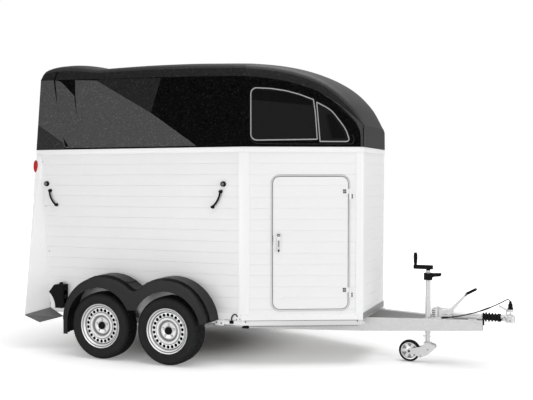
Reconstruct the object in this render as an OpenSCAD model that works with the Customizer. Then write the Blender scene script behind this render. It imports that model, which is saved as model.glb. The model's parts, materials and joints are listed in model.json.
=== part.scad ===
// Two-horse trailer with a moulded hood, plank walls, twin braked axles and a V drawbar.
// X runs forward, Y to the left and Z up. The origin lies on the ground below the middle.

/* [Body] */
// Outer width across the side walls
body_w = 1720; // [1640:10:1800]
// Length of the straight side walls
side_len = 2270; // [2100:10:2500]
// Length of the slanted front, measured along the trailer
nose_run = 986; // [900:2:1080]
// Width of the front wall, across its corners
front_w = 810; // [740:10:900]
// Thickness of every wall
wall_t = 30; // [22:1:40]
// Height of the walls' lower edge above the ground
wall_z = 470; // [450:1:490]
// Height of the walls' upper edge above the ground
belt_z = 1948; // [1900:1:2000]
// Height of the white rail that carries the hood
belt_h = 48; // [35:1:60]
// Height of one wall plank
plank_h = 102; // [90:1:120]
// Width of the groove between two planks
groove_w = 6; // [3:1:10]
// Depth of the groove between two planks
groove_d = 3; // [1:1:6]
// Width of the upright at the bend of each side
post_w = 101; // [80:1:130]
// Width of the upright at each front corner
corner_w = 62; // [45:1:80]
// How far uprights and rails stand proud of the walls
proud = 4; // [2:1:8]
// Thickness of the floor
floor_t = 25; // [18:1:35]

/* [Hood] */
// Thickness of the moulded hood
hood_t = 6; // [4:1:12]
// How far the hood stands out over the rail
hood_over = 8; // [4:1:14]
// Lean of the hood's side panels, in degrees
hood_lean = 2.5; // [0:0.5:5]
// How far the hood's rear edge leans forward at its top
hood_rake = 42; // [0:2:80]
// Roundness of the roof section, 2 is an ellipse
hood_round = 2.6; // [2.2:0.1:4]
// Share of the roof's rise that the flat shoulder over the side's crease takes up
hood_shoulder = 0.46; // [0.3:0.01:0.6]
// How far the shoulder leans in
shoulder_in = 27; // [15:1:40]
// Width of the frame round each window pane
window_frame_w = 14; // [8:1:22]
// Thickness of the window panes
pane_t = 5; // [4:1:8]

/* [Side door] */
// Width of the door leaf
door_w = 682; // [620:2:710]
// Distance from the door leaf's upper edge to the walls' upper edge
door_head = 224; // [190:2:300]
// Height of the door leaf's lower edge above the ground
door_z = 523; // [512:1:560]
// Corner radius of the door leaf
door_r = 60; // [50:1:90]
// Gap between the door leaf and its opening
door_gap = 6.5; // [5:0.5:8]
// Distance of the door's hinge line from the front corner, along the wall
door_hinge_in = 118; // [112:1:140]
// Distance of the hinge line from the door leaf's edge
door_hinge_off = 19; // [8:1:24]

/* [Ramp] */
// Width of each rear column
column_w = 55; // [40:1:70]
// Thickness of the ramp
ramp_t = 50; // [40:1:60]
// Height of the ramp's upper edge above the ground
ramp_top_z = 1936; // [1850:2:1960]
// Gap between the ramp and the columns on each side
ramp_gap = 8; // [6:1:12]
// Rearmost reach of the ramp's hinges behind the side walls
tail_out = 48; // [44:1:60]
// Radius of the ramp's hinge barrels
ramp_barrel_r = 14; // [10:1:18]

/* [Running gear] */
// Radius of the tyres
tyre_r = 317; // [300:1:330]
// Width of the tyres
tyre_w = 195; // [175:5:215]
// Radius of the rims' outer flange
rim_r = 207; // [195:1:215]
// Gap between the front and rear tyres
tyre_apart = 81; // [60:1:120]
// Distance of the rear axle in front of the side walls' rear edge
axle_in = 895; // [850:5:950]
// Gap between the side wall and the tyres
tyre_off = 54.5; // [45:0.5:70]
// Radius of the stub axles
stub_r = 20; // [16:1:25]
// Width across the square axle tubes
axle_tube = 80; // [60:2:90]
// Distance from the axle tube forward of the wheel's centre
arm_len = 150; // [130:5:180]
// Radius of the brake drums
drum_r = 115; // [100:1:130]

/* [Mudguards] */
// Distance from the tyre's radius out to each arch's outer radius
guard_over = 107; // [95:1:125]
// Distance from the tyre's radius out to the arch of the side face
guard_in_over = 35; // [28:1:50]
// How far the arches' centres lie above the wheels' centres
guard_up = 36; // [20:1:50]
// How far each arch's centre is moved towards the other
guard_shift = 27; // [0:1:40]
// Radius of the saddle between the arches
saddle_r = 100; // [60:5:160]
// Thickness of the mudguards
guard_t = 5; // [3:1:8]
// Width of the lower band along each guard's outer edge
guard_band = 88; // [60:2:120]
// Height of the step from that band up to the part at the wall
guard_step = 20; // [8:1:30]
// Height of the flap's lower edge above the ground
flap_z = 221; // [180:1:260]
// Gap between the tyre's outer face and the guard's side face
guard_gap = 8; // [6:1:20]

/* [Chassis] */
// Height of the chassis rails' lower edge above the ground
rail_z = 375; // [370:1:390]
// Width of the chassis rails
rail_w = 45; // [35:1:60]
// Distance from the side wall in to the chassis rails
rail_in = 240; // [200:5:280]
// Wall thickness of the steel sections
steel_t = 5; // [3:0.5:8]
// Height of the drawbar beams under the body
beam_h = 119; // [105:1:130]
// Height of the drawbar beams' upper edge above the ground
beam_top_z = 417; // [410:1:420]
// Height of the drawbar beams at their tip
beam_tip_h = 96; // [80:1:110]
// Width of the drawbar beams
beam_w = 50; // [40:1:60]
// Angle between each drawbar beam and the middle line
beam_angle = 14.95; // [13:0.05:17]
// Distance from the nose to the drawbar beams' tip
beam_reach = 1022; // [950:2:1100]
// Length of the bellows
bellows_len = 150; // [120:2:180]
// Length of the coupling head in front of the bellows
coupling_len = 129; // [110:1:160]

/* [Drawbar gear] */
// Height of the draw tube's axis above the ground
draw_z = 447; // [440:1:470]
// Radius of the draw tube
draw_r = 29; // [24:1:29]
// Radius of the coupling's ball socket
socket_r = 25.3; // [25:0.1:26]
// Radius of the jockey wheel
jockey_r = 100; // [90:1:110]
// Width of the jockey wheel
jockey_w = 50; // [40:1:60]
// Radius of the jockey's outer tube
jockey_tube_r = 24; // [22:1:26]
// Radius of the jockey's inner tube
jockey_leg_r = 20; // [16:1:21]
// Distance of the jockey tube behind the drawbar's tip, along the beam
jockey_back = 482; // [440:2:520]
// Distance of the jockey wheel behind its tube
jockey_trail = 168; // [140:2:175]

/* [Hidden] */
$fn = 48;

// Places along the trailer. The bend of the side walls is the main station.
bellows_gap = 3;
tip_reach = beam_reach + bellows_gap + bellows_len + coupling_len;
bend_x = (side_len + tail_out - nose_run - tip_reach) / 2;
rear_x = bend_x - side_len;
nose_x = bend_x + nose_run;
tip_x = nose_x + tip_reach;
half_w = body_w / 2;
front_half = front_w / 2;
nose_inset = half_w - front_half;
portal_w = body_w - 2 * column_w;
door_h = belt_z - door_head - door_z;
rail_y = half_w - rail_in;
track_half = half_w + tyre_off + tyre_w / 2;
wheel_base = 2 * tyre_r + tyre_apart;
guard_r = tyre_r + guard_over;
guard_in_r = tyre_r + guard_in_over;
nose_a = atan(nose_inset / nose_run);
nose_len = norm([nose_run, nose_inset]);
hood_z = belt_z + belt_h;
deck_z = wall_z - floor_t;
column_d = 50;
foot_z = 357;
foot_out = 174;
foot_back = 30;
foot_front = 152;
foot_rise = 60;
top_front = 55;
wheel_x = [rear_x + axle_in, rear_x + axle_in + wheel_base];
seat_gap = 0.3;

module both_sides() {
    children();
    mirror([0, 1, 0]) children();
}

// A point at a length s along the slanted wall and a distance d out from it, in plan.
function nose_pt(s, d) = [bend_x + s * cos(nose_a) + d * sin(nose_a),
                          half_w - s * sin(nose_a) + d * cos(nose_a)];

// The body's outline in plan, moved outward by d, from the rear edge of one side to the other.
function plan(d, rear = rear_x) =
    let(bend = [bend_x + d * tan(nose_a / 2), half_w + d],
        corner = [nose_x + d, half_w - (nose_run + d) * tan(nose_a) + d / cos(nose_a)])
    [[rear, -bend[1]], [bend[0], -bend[1]], [corner[0], -corner[1]],
     corner, bend, [rear, bend[1]]];

// The arc that rounds corner p between its neighbours a and b.
function fillet(a, p, b, r, n) =
    let(u = (a - p) / norm(a - p), v = (b - p) / norm(b - p), h = acos(u * v) / 2,
        c = p + (u + v) / norm(u + v) * r / sin(h),
        pa = p + u * r / tan(h) - c, pb = p + v * r / tan(h) - c,
        from = atan2(pa[1], pa[0]), turn = (atan2(pb[1], pb[0]) - from + 540) % 360 - 180)
    [for (i = [0:n]) c + r * [cos(from + turn * i / n), sin(from + turn * i / n)]];

// An outline whose rows hold x, y and the radius of the corner there.
function rounded(rows, n = 6) =
    let(m = len(rows))
    [for (i = [0:m - 1])
        let(p = [rows[i][0], rows[i][1]], r = rows[i][2],
            a = [rows[(i + m - 1) % m][0], rows[(i + m - 1) % m][1]],
            b = [rows[(i + 1) % m][0], rows[(i + 1) % m][1]])
        each (r == 0 ? [p] : fillet(a, p, b, r, n))];

function rounded_box(w, h, r, n = 6) =
    rounded([[-w / 2, -h / 2, r], [w / 2, -h / 2, r], [w / 2, h / 2, r], [-w / 2, h / 2, r]], n);

function arc(c, r, from, to, n) =
    [for (i = [0:n]) c + r * [cos(from + (to - from) * i / n), sin(from + (to - from) * i / n)]];

function backwards(list) = [for (i = [len(list) - 1:-1:0]) list[i]];

// Turns a drawing in X and Z into a plate that runs from Y = y0 to Y = y1.
module upright(y0, y1) {
    translate([0, y1, 0]) rotate([90, 0, 0]) linear_extrude(y1 - y0) children();
}

// Puts a child on the left slanted wall: x along it from the bend, y outward, z up.
module on_nose() {
    translate([bend_x, half_w, 0]) rotate([0, 0, -nose_a]) children();
}

// A round bar from one point to another.
module bar(a, b, r) {
    d = b - a;
    translate(a) rotate([0, acos(d[2] / norm(d)), atan2(d[1], d[0])]) cylinder(r = r, h = norm(d));
}

// Walls
plank_lines = floor((belt_z - wall_z - groove_w) / plank_h);

function wall_section() = concat([[-wall_t, wall_z], [0, wall_z]],
    [for (i = [plank_lines:-1:1], side = [-1, 0, 1])
        [side == 0 ? -groove_d : 0, belt_z - i * plank_h + side * groove_w / 2]],
    [[0, belt_z], [-wall_t, belt_z]]);

module plank_wall(len) {
    rotate([90, 0, 90]) linear_extrude(len) polygon(wall_section());
}

module side_wall() {
    len = side_len - column_d - post_w / 2;
    translate([rear_x + column_d, half_w, 0]) plank_wall(len);
}

module nose_wall() {
    on_nose() translate([post_w / 2, 0, 0]) plank_wall(nose_len - post_w / 2 - corner_w);
}

// Side door
hinge_s = nose_len - door_hinge_in;
door_s = hinge_s - door_hinge_off - door_w / 2;
door_mid_z = door_z + door_h / 2;

// Drawings on the slanted wall: x along it and y up, turned into a plate from d0 to d1.
module nose_plate(s, z, d0, d1) {
    on_nose() translate([s, 0, z]) upright(d0, d1) children();
}

module side_wall_right() {
    color("white") mirror([0, 1, 0]) side_wall();
}

module side_wall_left() {
    color("white") side_wall();
}

module nose_wall_right() {
    color("white") mirror([0, 1, 0]) difference() {
        nose_wall();
        nose_plate(door_s, door_mid_z, -2 * wall_t, wall_t)
            polygon(rounded_box(door_w + 2 * door_gap, door_h + 2 * door_gap, door_r + door_gap));
    }
}

module nose_wall_left() {
    color("white") nose_wall();
}

module front_wall() {
    w = 2 * (front_half - corner_w);
    color("white") translate([nose_x, w / 2, 0]) rotate([0, 0, -90]) plank_wall(w);
}

module wall_posts() {
    bend_out = [bend_x + proud * tan(nose_a / 2), half_w + proud];
    bend_in = [bend_x - wall_t * tan(nose_a / 2), half_w - wall_t];
    corner_out = plan(proud)[3];
    corner_in = plan(-wall_t)[3];
    color("white") both_sides() difference() {
        union() {
            translate([0, 0, wall_z]) linear_extrude(belt_z - wall_z)
                polygon([[bend_x - post_w / 2, half_w - wall_t], bend_in, nose_pt(post_w / 2, -wall_t),
                         nose_pt(post_w / 2, proud), bend_out, [bend_x - post_w / 2, half_w + proud]]);
            translate([0, 0, wall_z]) linear_extrude(belt_z - wall_z)
                polygon(concat([nose_pt(nose_len - corner_w, -wall_t), nose_pt(nose_len - corner_w, proud)],
                    fillet(nose_pt(0, proud), corner_out, [corner_out[0], 0], 16, 5),
                    [[nose_x + proud, front_half - corner_w], [nose_x - wall_t, front_half - corner_w],
                     corner_in]));
        }
        strip_space(proud + 1, strip_over);
    }
}

// The space round the walls that the sill strip takes up, d wide and reaching h above the walls' lower edge.
module strip_space(d, h) {
    translate([0, 0, beam_top_z + 1]) linear_extrude(wall_z + h - beam_top_z - 1)
        polygon(concat(plan(d, sill_x), backwards(plan(0, sill_x))));
}

module belt_rail() {
    out = plan(proud + 2);
    in = plan(-wall_t);
    color("white") translate([0, 0, belt_z]) linear_extrude(belt_h)
        polygon(concat(out, backwards(in)));
}

// Sill: a grey rail under the floor's edge and a white riveted strip over it
sill_rail_h = 38;
sill_rail_w = 42;
sill_x = rear_x + foot_front + 4;
strip_over = 8;

module sill_rail() {
    side = [plan(2, sill_x)[5], plan(2, sill_x)[4], nose_pt(nose_len, 2)];
    inner = [plan(-sill_rail_w, sill_x)[5], plan(-sill_rail_w, sill_x)[4], nose_pt(nose_len - 20, -sill_rail_w)];
    lip = [plan(-steel_t, sill_x)[5], plan(-steel_t, sill_x)[4], nose_pt(nose_len - 3, -steel_t)];
    color("silver") both_sides() {
        translate([0, 0, rail_z]) linear_extrude(sill_rail_h) polygon(concat(side, backwards(inner)));
        translate([0, 0, rail_z]) linear_extrude(deck_z - rail_z)
            polygon(concat([plan(0, sill_x)[5], plan(0, sill_x)[4], nose_pt(nose_len, 0)], backwards(lip)));
    }
}

module sill_strip() {
    color("white") strip_space(proud, strip_over);
}

module floor_deck() {
    color("saddlebrown") translate([0, 0, deck_z]) linear_extrude(floor_t) polygon(plan(0, rear_x + column_d));
}

// Chassis
rail_h = deck_z - rail_z;
rail_front_x = bend_x + (rail_in - (sill_rail_w + 4) / cos(nose_a)) / tan(nose_a);
beam_tip_x = nose_x + beam_reach;
beam_y = rail_y - rail_w;
beam_tip_y = 26;
beam_turn_x = beam_tip_x - (beam_y - beam_tip_y) / tan(beam_angle);
beam_end_x = wheel_x[1] + arm_len + axle_tube / 2 + 30;

function channel(w, h, t) = [[0, 0], [w, 0], [w, t], [t, t], [t, h - t], [w, h - t], [w, h], [0, h]];

module cross_member(x, y) {
    low = steel_t + seat_gap;
    translate([x, -y, rail_z + low]) rotate([90, 0, 180]) linear_extrude(2 * y)
        polygon(channel(40, rail_h - 2 * low, steel_t));
}

// A shallow bearer that lies over the drawbar beams and carries the deck.
module bearer(x) {
    y = x > rail_front_x ? hood_half(x + 40, 0) - 2 * steel_t : beam_y;
    translate([x, -y, beam_top_z]) cube([40, 2 * y, deck_z - beam_top_z]);
}

module chassis_rails() {
    color("lightgray") both_sides() translate([rear_x + 40, rail_y, rail_z]) rotate([90, 0, 90])
        linear_extrude(rail_front_x - rear_x - 40)
        mirror([1, 0, 0]) polygon(channel(rail_w, rail_h, steel_t));
}

module cross_members() {
    color("lightgray") {
        for (x = [rear_x + 90, rear_x + 480, wheel_x[0] + 330, beam_end_x - 60])
            cross_member(x, rail_y - steel_t - seat_gap);
        for (x = [bend_x - 200, bend_x + 200, bend_x + 560, nose_x - 70])
            bearer(x);
    }
}

// One drawbar beam in plan: along the chassis rail, then slanting to the tip.
function beam_plan(inner) =
    let(y = beam_y - inner, k = inner * tan(beam_angle / 2), w = inner / cos(beam_angle))
    [[beam_end_x, y], [beam_turn_x - k, y], [beam_tip_x, max(0, beam_tip_y - w)]];

// The space of one beam, drawn in by a skin on its outer side, top and sloping bottom.
module beam_blank(skin) {
    taper = atan((beam_h - beam_tip_h) / beam_reach);
    low_z = beam_top_z - beam_h + skin;
    a = beam_plan(skin);
    b = beam_plan(beam_w);
    cross_x = beam_tip_x - (beam_w / cos(beam_angle) - beam_tip_y) / tan(beam_angle);
    difference() {
        translate([0, 0, low_z]) linear_extrude(beam_h - 2 * skin)
            polygon([a[0], a[1], a[2], [beam_tip_x, 0], [cross_x, 0], b[1], b[0]]);
        translate([nose_x, -1, low_z]) rotate([0, -taper, 0]) translate([0, 0, -beam_h])
            cube([2 * beam_reach, rail_y, beam_h]);
    }
}

module drawbar() {
    color("lightgray") both_sides() difference() {
        beam_blank(0);
        beam_blank(steel_t);
    }
}

// Axles
arm_t = 25;
arm_y = half_w - 12;
mount_y = track_half + 30;
drum_depth = 78;
back_plate_y = mount_y - 22 - drum_depth - 9;
tube_z = rail_z - axle_tube / 2;

module axle(x) {
    tx = x + arm_len;
    color("lightgray") {
        translate([tx - axle_tube / 2, -arm_y - arm_t / 2, rail_z - axle_tube])
            cube([axle_tube, 2 * arm_y + arm_t, axle_tube]);
        both_sides() {
            translate([0, arm_y + arm_t, 0]) rotate([90, 0, 0]) linear_extrude(arm_t)
                polygon(concat(arc([tx, tube_z], axle_tube / 2 - seat_gap, 90 - 7, -90 - 7, 8),
                    arc([x, tyre_r], 32, -97, -263, 8)));
            translate([x, arm_y + arm_t / 2, tyre_r]) rotate([-90, 0, 0])
                cylinder(r = 34, h = back_plate_y - arm_y - arm_t / 2 + 1);
            translate([x, back_plate_y, tyre_r]) rotate([-90, 0, 0]) cylinder(r = drum_r + 6, h = 5);
            translate([x, arm_y + arm_t - 1, tyre_r]) rotate([-90, 0, 0])
                cylinder(r = stub_r, h = mount_y - 20 - arm_y - arm_t + 1);
        }
    }
}

module axle_rear() { axle(wheel_x[0]); }
module axle_front() { axle(wheel_x[1]); }

// Wheels, drawn round the axis with x as the radius and y outward from the middle plane
tyre_half = tyre_w / 2;
module tyre() {
    bead = rim_r - 12;
    color([0.08, 0.08, 0.09]) rotate_extrude($fn = 64)
        polygon([[bead, -78], [rim_r + 8, -84], [tyre_r - 55, -tyre_half], [tyre_r - 22, -tyre_half + 6],
                 [tyre_r - 4, -68], [tyre_r, -40], [tyre_r, 40], [tyre_r - 4, 68],
                 [tyre_r - 22, tyre_half - 6], [tyre_r - 55, tyre_half], [rim_r + 8, 84],
                 [bead, 78], [bead, 70], [bead + 12, 60], [tyre_r - 16, 50], [tyre_r - 16, -50],
                 [bead + 12, -60], [bead, -70]]);
}

face_y = mount_y - track_half;
hole_count = 22;
rim_t = 4;

module rim() {
    color("silver") difference() {
        union() {
            rotate_extrude($fn = 64) polygon([
                [rim_r, -86], [rim_r - rim_t, -86], [rim_r - 14 - rim_t, -80], [rim_r - 14 - rim_t, -56],
                [162, -44], [162, 30], [176, 44], [176, 62], [rim_r - 14 - rim_t, 66], [rim_r - 14 - rim_t, 80],
                [rim_r - rim_t, 86], [rim_r, 86], [rim_r, 82], [rim_r - 12.3, 78], [rim_r - 12.3, 62],
                [180, 58], [180, 42], [166, 28], [166, -42], [rim_r - 12.3, -58],
                [rim_r - 12.3, -78], [rim_r, -82]]);
            rotate_extrude($fn = 64) polygon([
                [33, face_y - 5], [82, face_y - 5], [92, face_y + 14], [104, face_y + 24], [116, face_y + 20],
                [126, face_y + 6], [140, face_y + 2], [162.5, face_y - 2], [162.5, face_y - 12], [140, face_y - 4],
                [122, face_y], [112, face_y + 14], [104, face_y + 18], [96, face_y + 9],
                [85, face_y - 10], [33, face_y - 10]]);
            rotate_extrude($fn = 48) polygon([
                [stub_r + 0.06, face_y - 92], [45, face_y - 92], [45, face_y - 45], [drum_r - 12, face_y - 45],
                [drum_r - 12, face_y - 22 - drum_depth], [drum_r, face_y - 22 - drum_depth], [drum_r, face_y - 22],
                [drum_r - 30, face_y - 10], [stub_r + 0.06, face_y - 10]]);
            translate([0, 0, face_y - 10]) cylinder(r = 33, h = 42);
        }
        for (i = [0:hole_count - 1]) rotate([0, 0, i * 360 / hole_count])
            translate([147, 0, face_y - 40]) cylinder(r = 11, h = 60, $fn = 16);
    }
}

module at_wheel(i, side) {
    translate([wheel_x[i], side * track_half, tyre_r]) rotate([-90 * side, 0, 0]) children();
}

module tyre_rear_right() { at_wheel(0, -1) tyre(); }
module rim_rear_right() { at_wheel(0, -1) rim(); }
module tyre_front_right() { at_wheel(1, -1) tyre(); }
module rim_front_right() { at_wheel(1, -1) rim(); }
module tyre_rear_left() { at_wheel(0, 1) tyre(); }
module rim_rear_left() { at_wheel(0, 1) rim(); }
module tyre_front_left() { at_wheel(1, 1) tyre(); }
module rim_front_left() { at_wheel(1, 1) rim(); }

// Mudguards
guard_y = track_half + tyre_half + guard_gap;
guard_c = [[wheel_x[0] + guard_shift, tyre_r + guard_up], [wheel_x[1] - guard_shift, tyre_r + guard_up]];
guard_in_c = [[wheel_x[0], tyre_r + 13], [wheel_x[1], tyre_r + 13]];
guard_mid = (wheel_x[0] + wheel_x[1]) / 2;
guard_end = 8;

function guard_path(r, low) =
    let(half = guard_mid - guard_c[0][0], rf = saddle_r + guard_r - r,
        h = sqrt(pow(r + rf, 2) - half * half), t = atan2(h, half))
    concat([[guard_c[0][0] - r, low]], arc(guard_c[0], r, 180, t, 14),
        arc([guard_mid, guard_c[0][1] + h], rf, 180 + t, 360 - t, 6), arc(guard_c[1], r, 180 - t, guard_end, 14));

function guard_inner(low) =
    let(skirt_z = tyre_r + 173, a = asin((skirt_z - guard_in_c[0][1]) / guard_in_r))
    concat([[guard_in_c[0][0] - guard_in_r, low]], arc(guard_in_c[0], guard_in_r, 180, a, 14),
        arc(guard_in_c[1], guard_in_r, 180 - a, guard_end + 5, 14));

// A strip of the guard between two places across it, t thick inward from the radius r.
module guard_skin(y0, y1, r, t) {
    upright(y0, y1) polygon(concat(guard_path(r, flap_z), backwards(guard_path(r - t, flap_z))));
}

module mudguard() {
    color([0.13, 0.13, 0.14]) {
        guard_skin(guard_y - guard_band, guard_y, guard_r, guard_t);
        guard_skin(guard_y - guard_band, guard_y - guard_band + guard_t, guard_r + guard_step, guard_step + guard_t);
        difference() {
            guard_skin(half_w + seat_gap, guard_y - guard_band + guard_t, guard_r + guard_step, guard_t);
            strip_space(proud + seat_gap, strip_over + seat_gap);
            translate([0, 0, flap_z - beam_top_z]) strip_space(proud + seat_gap, 0);
            translate([rear_x, half_w, flap_z - 1]) cube([side_len, proud + seat_gap, beam_top_z - flap_z + 3]);
        }
        upright(guard_y, guard_y + guard_t)
            polygon(concat(guard_path(guard_r, flap_z), backwards(guard_inner(flap_z))));
    }
}

module mudguard_right() { mirror([0, 1, 0]) mudguard(); }
module mudguard_left() { mudguard(); }

// Rear frame: columns that flare out towards their feet, and a sill between them

// The solid that spans two like outlines of corner points.
module spanned(low, high) {
    n = len(low);
    hull() polyhedron(points = concat(low, high), faces = [[for (i = [0:n - 1]) i], [for (i = [0:n - 1]) n + i]]);
}

module column() {
    y_in = portal_w / 2;
    spanned(
        [[rear_x - foot_back, y_in, foot_z], [rear_x - foot_back, half_w, foot_z],
         [rear_x + column_d, half_w, foot_z], [rear_x + column_d, y_in, foot_z]],
        [[rear_x, y_in, belt_z], [rear_x, half_w, belt_z],
         [rear_x + column_d, half_w, belt_z], [rear_x + column_d, y_in, belt_z]]);
    spanned(
        [[rear_x - foot_back, half_w, foot_z], [rear_x - foot_back, half_w + foot_out, foot_z],
         [rear_x + foot_front, half_w + seat_gap, foot_z + foot_rise]],
        [[rear_x, half_w, belt_z], [rear_x, half_w + proud, belt_z],
         [rear_x + top_front, half_w + seat_gap, belt_z]]);
}

module rear_frame() {
    color("whitesmoke") both_sides() column();
    color("lightgray") translate([rear_x - 8, -portal_w / 2, rail_z]) cube([48, portal_w, rail_h]);
}

module corner_cover() {
    outline = [[rear_x - foot_back, half_w + foot_out, foot_z - 1],
               [rear_x + foot_front, half_w + proud, foot_z + foot_rise - 1],
               [rear_x + 310, half_w + proud, rail_z - 35],
               [rear_x + 23, half_w + 7, rail_z - 115]];
    color([0.25, 0.25, 0.27]) both_sides() spanned(outline, [for (p = outline) p - [0, 0, 6]]);
}

// Hood. Each row holds a place along the trailer, then the heights over the rail of the side's
// upper crease and of the crown. The place is a distance from the rear edge, or a share of the wall's length.
hood_back = [
    [42, 704, 794], [70, 702, 842], [130, 700, 870], [210, 697, 884], [320, 694, 887], [420, 691, 880],
    [520, 688, 860], [620, 685, 838], [710, 682, 827], [870, 679, 830]];
hood_along = [[0.537, 672, 835], [0.714, 662, 830], [0.877, 650, 814], [1, 638, 798]];
hood_ahead = [
    [0.183, 621, 782], [0.345, 594, 754], [0.507, 545, 706], [0.639, 492, 641], [0.751, 409, 566],
    [0.842, 316, 484], [0.913, 244, 399], [0.964, 194, 304]];
hood_tip = [172, 200];
hood_rows = concat(
    [for (r = hood_back) [rear_x + r[0], hood_z + r[1], hood_z + r[2]]],
    [for (r = hood_along) [rear_x + r[0] * side_len, hood_z + r[1], hood_z + r[2]]],
    [for (r = hood_ahead) [bend_x + r[0] * nose_run, hood_z + r[1], hood_z + r[2]]]);
hood_nose = [hood_z + hood_tip[0], hood_z + hood_tip[1]];
roof_steps = 8;

function hood_half(x, d) = x <= bend_x ? half_w + d : half_w - (x - bend_x) * tan(nose_a) + d / cos(nose_a);

// One section across the hood: up the leaning side to the crease, up the flat shoulder, then over the roof.
function hood_section(x, crease, crown, e, rake) =
    let(base = hood_half(x, hood_over) - e,
        edge = hood_half(x, hood_over - (crease - hood_z) * tan(hood_lean)) - e,
        ridge = [edge - shoulder_in, crease + (crown - e - crease) * hood_shoulder],
        side = concat([[base, hood_z], [edge, crease]], [for (i = [0:roof_steps])
            let(t = 90 * i / roof_steps, p = 2 / hood_round)
            [ridge[0] * pow(cos(t), p), ridge[1] + (crown - e - ridge[1]) * pow(sin(t), p)]]),
        m = len(side))
    concat([for (p = side) [x - rake * (1 - (p[1] - hood_z) / (crown - hood_z)), -p[0], p[1]]],
        [for (i = [m - 2:-1:0]) [x - rake * (1 - (side[i][1] - hood_z) / (crown - hood_z)), side[i][0], side[i][1]]]);

function hood_skin(e) =
    concat([for (i = [0:len(hood_rows) - 1]) let(r = hood_rows[i])
            hood_section(r[0], r[1], r[2], e, i == 0 ? hood_rake : 0)],
        [hood_section(nose_x + hood_over - e, hood_nose[0] - e, hood_nose[1], e, 0)]);

module hood_shell() {
    outer = hood_skin(0);
    inner = hood_skin(hood_t);
    n = len(outer);
    m = len(outer[0]);
    pts = concat([for (s = outer) each s], [for (s = inner) each s]);
    k = n * m;
    faces = concat(
        [for (i = [0:n - 2], j = [0:m - 2]) each [
            [i * m + j, i * m + j + 1, (i + 1) * m + j], [i * m + j + 1, (i + 1) * m + j + 1, (i + 1) * m + j]]],
        [for (i = [0:n - 2], j = [0:m - 2]) each [
            [k + i * m + j, k + (i + 1) * m + j, k + i * m + j + 1],
            [k + i * m + j + 1, k + (i + 1) * m + j, k + (i + 1) * m + j + 1]]],
        [for (j = [0:m - 2]) each [[j, k + j, j + 1], [j + 1, k + j, k + j + 1]]],
        [for (i = [0:n - 2]) each [
            [i * m, (i + 1) * m, k + i * m], [(i + 1) * m, k + (i + 1) * m, k + i * m],
            [i * m + m - 1, k + i * m + m - 1, (i + 1) * m + m - 1],
            [(i + 1) * m + m - 1, k + i * m + m - 1, k + (i + 1) * m + m - 1]]],
        [for (j = [1:m - 2]) [(n - 1) * m, (n - 1) * m + j, (n - 1) * m + j + 1]],
        [for (j = [1:m - 2]) [k + (n - 1) * m, k + (n - 1) * m + j + 1, k + (n - 1) * m + j]],
        [[(n - 1) * m, n * m - 1, k + n * m - 1], [(n - 1) * m, k + n * m - 1, k + (n - 1) * m]]);
    polyhedron(points = pts, faces = faces, convexity = 6);
}

// Window outlines on the slanted side: distance from the bend, height over the rail, corner radius.
main_pane = [[59, 50, 60], [673, 61, 14], [655, 315, 300], [639, 431, 12], [470, 515, 500], [59, 541, 60]];
quarter_pane = [[690, 40, 10], [964, 40, 40], [930, 165, 300], [800, 340, 300], [659, 413, 10]];

module on_hood_side() {
    on_nose() translate([0, hood_over, hood_z]) rotate([hood_lean, 0, 0]) children();
}

module window_cut(rows) {
    on_hood_side() upright(-40, 20) polygon(rounded(rows, 5));
}

// The brow of the hood's front part, which stands out over the side panel and widens towards the corner.
brow = [[680, 499], [790, 433], [899, 353], [958, 295], [1018, 227], [1056, 150], [1064, 91], [1064, 0],
    [1084, 0], [1084, 185], [1078, 207], [1038, 247], [958, 315], [859, 393], [760, 455]];

module hood() {
    color([0.1, 0.1, 0.11]) difference() {
        union() {
            hood_shell();
            both_sides() on_hood_side() upright(-2, 3) scale([nose_len / 1086, 1]) polygon(brow);
        }
        both_sides() {
            window_cut(main_pane);
            window_cut(quarter_pane);
        }
    }
}

function middle(rows) = let(n = len(rows)) [for (k = [0, 1]) [for (r = rows) r[k]] * [for (r = rows) 1] / n];

// The same outline drawn in by an amount g.
function drawn_in(rows, g) =
    let(c = middle(rows))
    [for (r = rows) let(v = [r[0], r[1]] - c, q = c + v * (1 - g / norm(v))) [q[0], q[1], max(2, r[2] - g)]];

module panes() {
    color([0.1, 0.1, 0.12, 0.6]) for (rows = [main_pane, quarter_pane])
        on_hood_side() upright(-hood_t, -hood_t + pane_t) polygon(rounded(drawn_in(rows, window_frame_w), 5));
}

module window_pane_right() { mirror([0, 1, 0]) panes(); }
module window_pane_left() { panes(); }

module window_frames() {
    color("darkgray") both_sides() for (rows = [main_pane, quarter_pane])
        on_hood_side() upright(-hood_t, 4) difference() {
            polygon(rounded(drawn_in(rows, seat_gap), 5));
            polygon(rounded(drawn_in(rows, window_frame_w), 5));
        }
}

tarp_row = hood_rows[1];

module rear_tarp() {
    x = tarp_row[0];
    edge = [for (p = hood_section(x, tarp_row[1], tarp_row[2], hood_t + seat_gap, 0)) [p[1], p[2]]];
    y = half_w - wall_t - seat_gap;
    color([0.2, 0.2, 0.22]) translate([x, 0, 0]) rotate([90, 0, 90]) linear_extrude(3)
        polygon(concat([[y, hood_z + seat_gap], [y, ramp_top_z - 30], [-y, ramp_top_z - 30], [-y, hood_z + seat_gap]],
            edge));
}

// Puts a child on the leaning rear face of the columns: x forward into it, z up along it from the feet.
module on_back() {
    translate([rear_x - foot_back, 0, foot_z]) rotate([0, atan(foot_back / (belt_z - foot_z)), 0]) children();
}

lamp_d = 20;

module lamps() {
    color("red") both_sides() on_back() {
        translate([-30 - seat_gap, half_w - 26, belt_z - foot_z - 112]) rotate([90, 0, 90])
            linear_extrude(30) polygon(rounded_box(52, 120, 25));
        translate([-lamp_d - seat_gap, half_w + 35, 295]) rotate([90, 0, 90])
            linear_extrude(lamp_d) polygon(rounded_box(110, 260, 14));
    }
}

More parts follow.
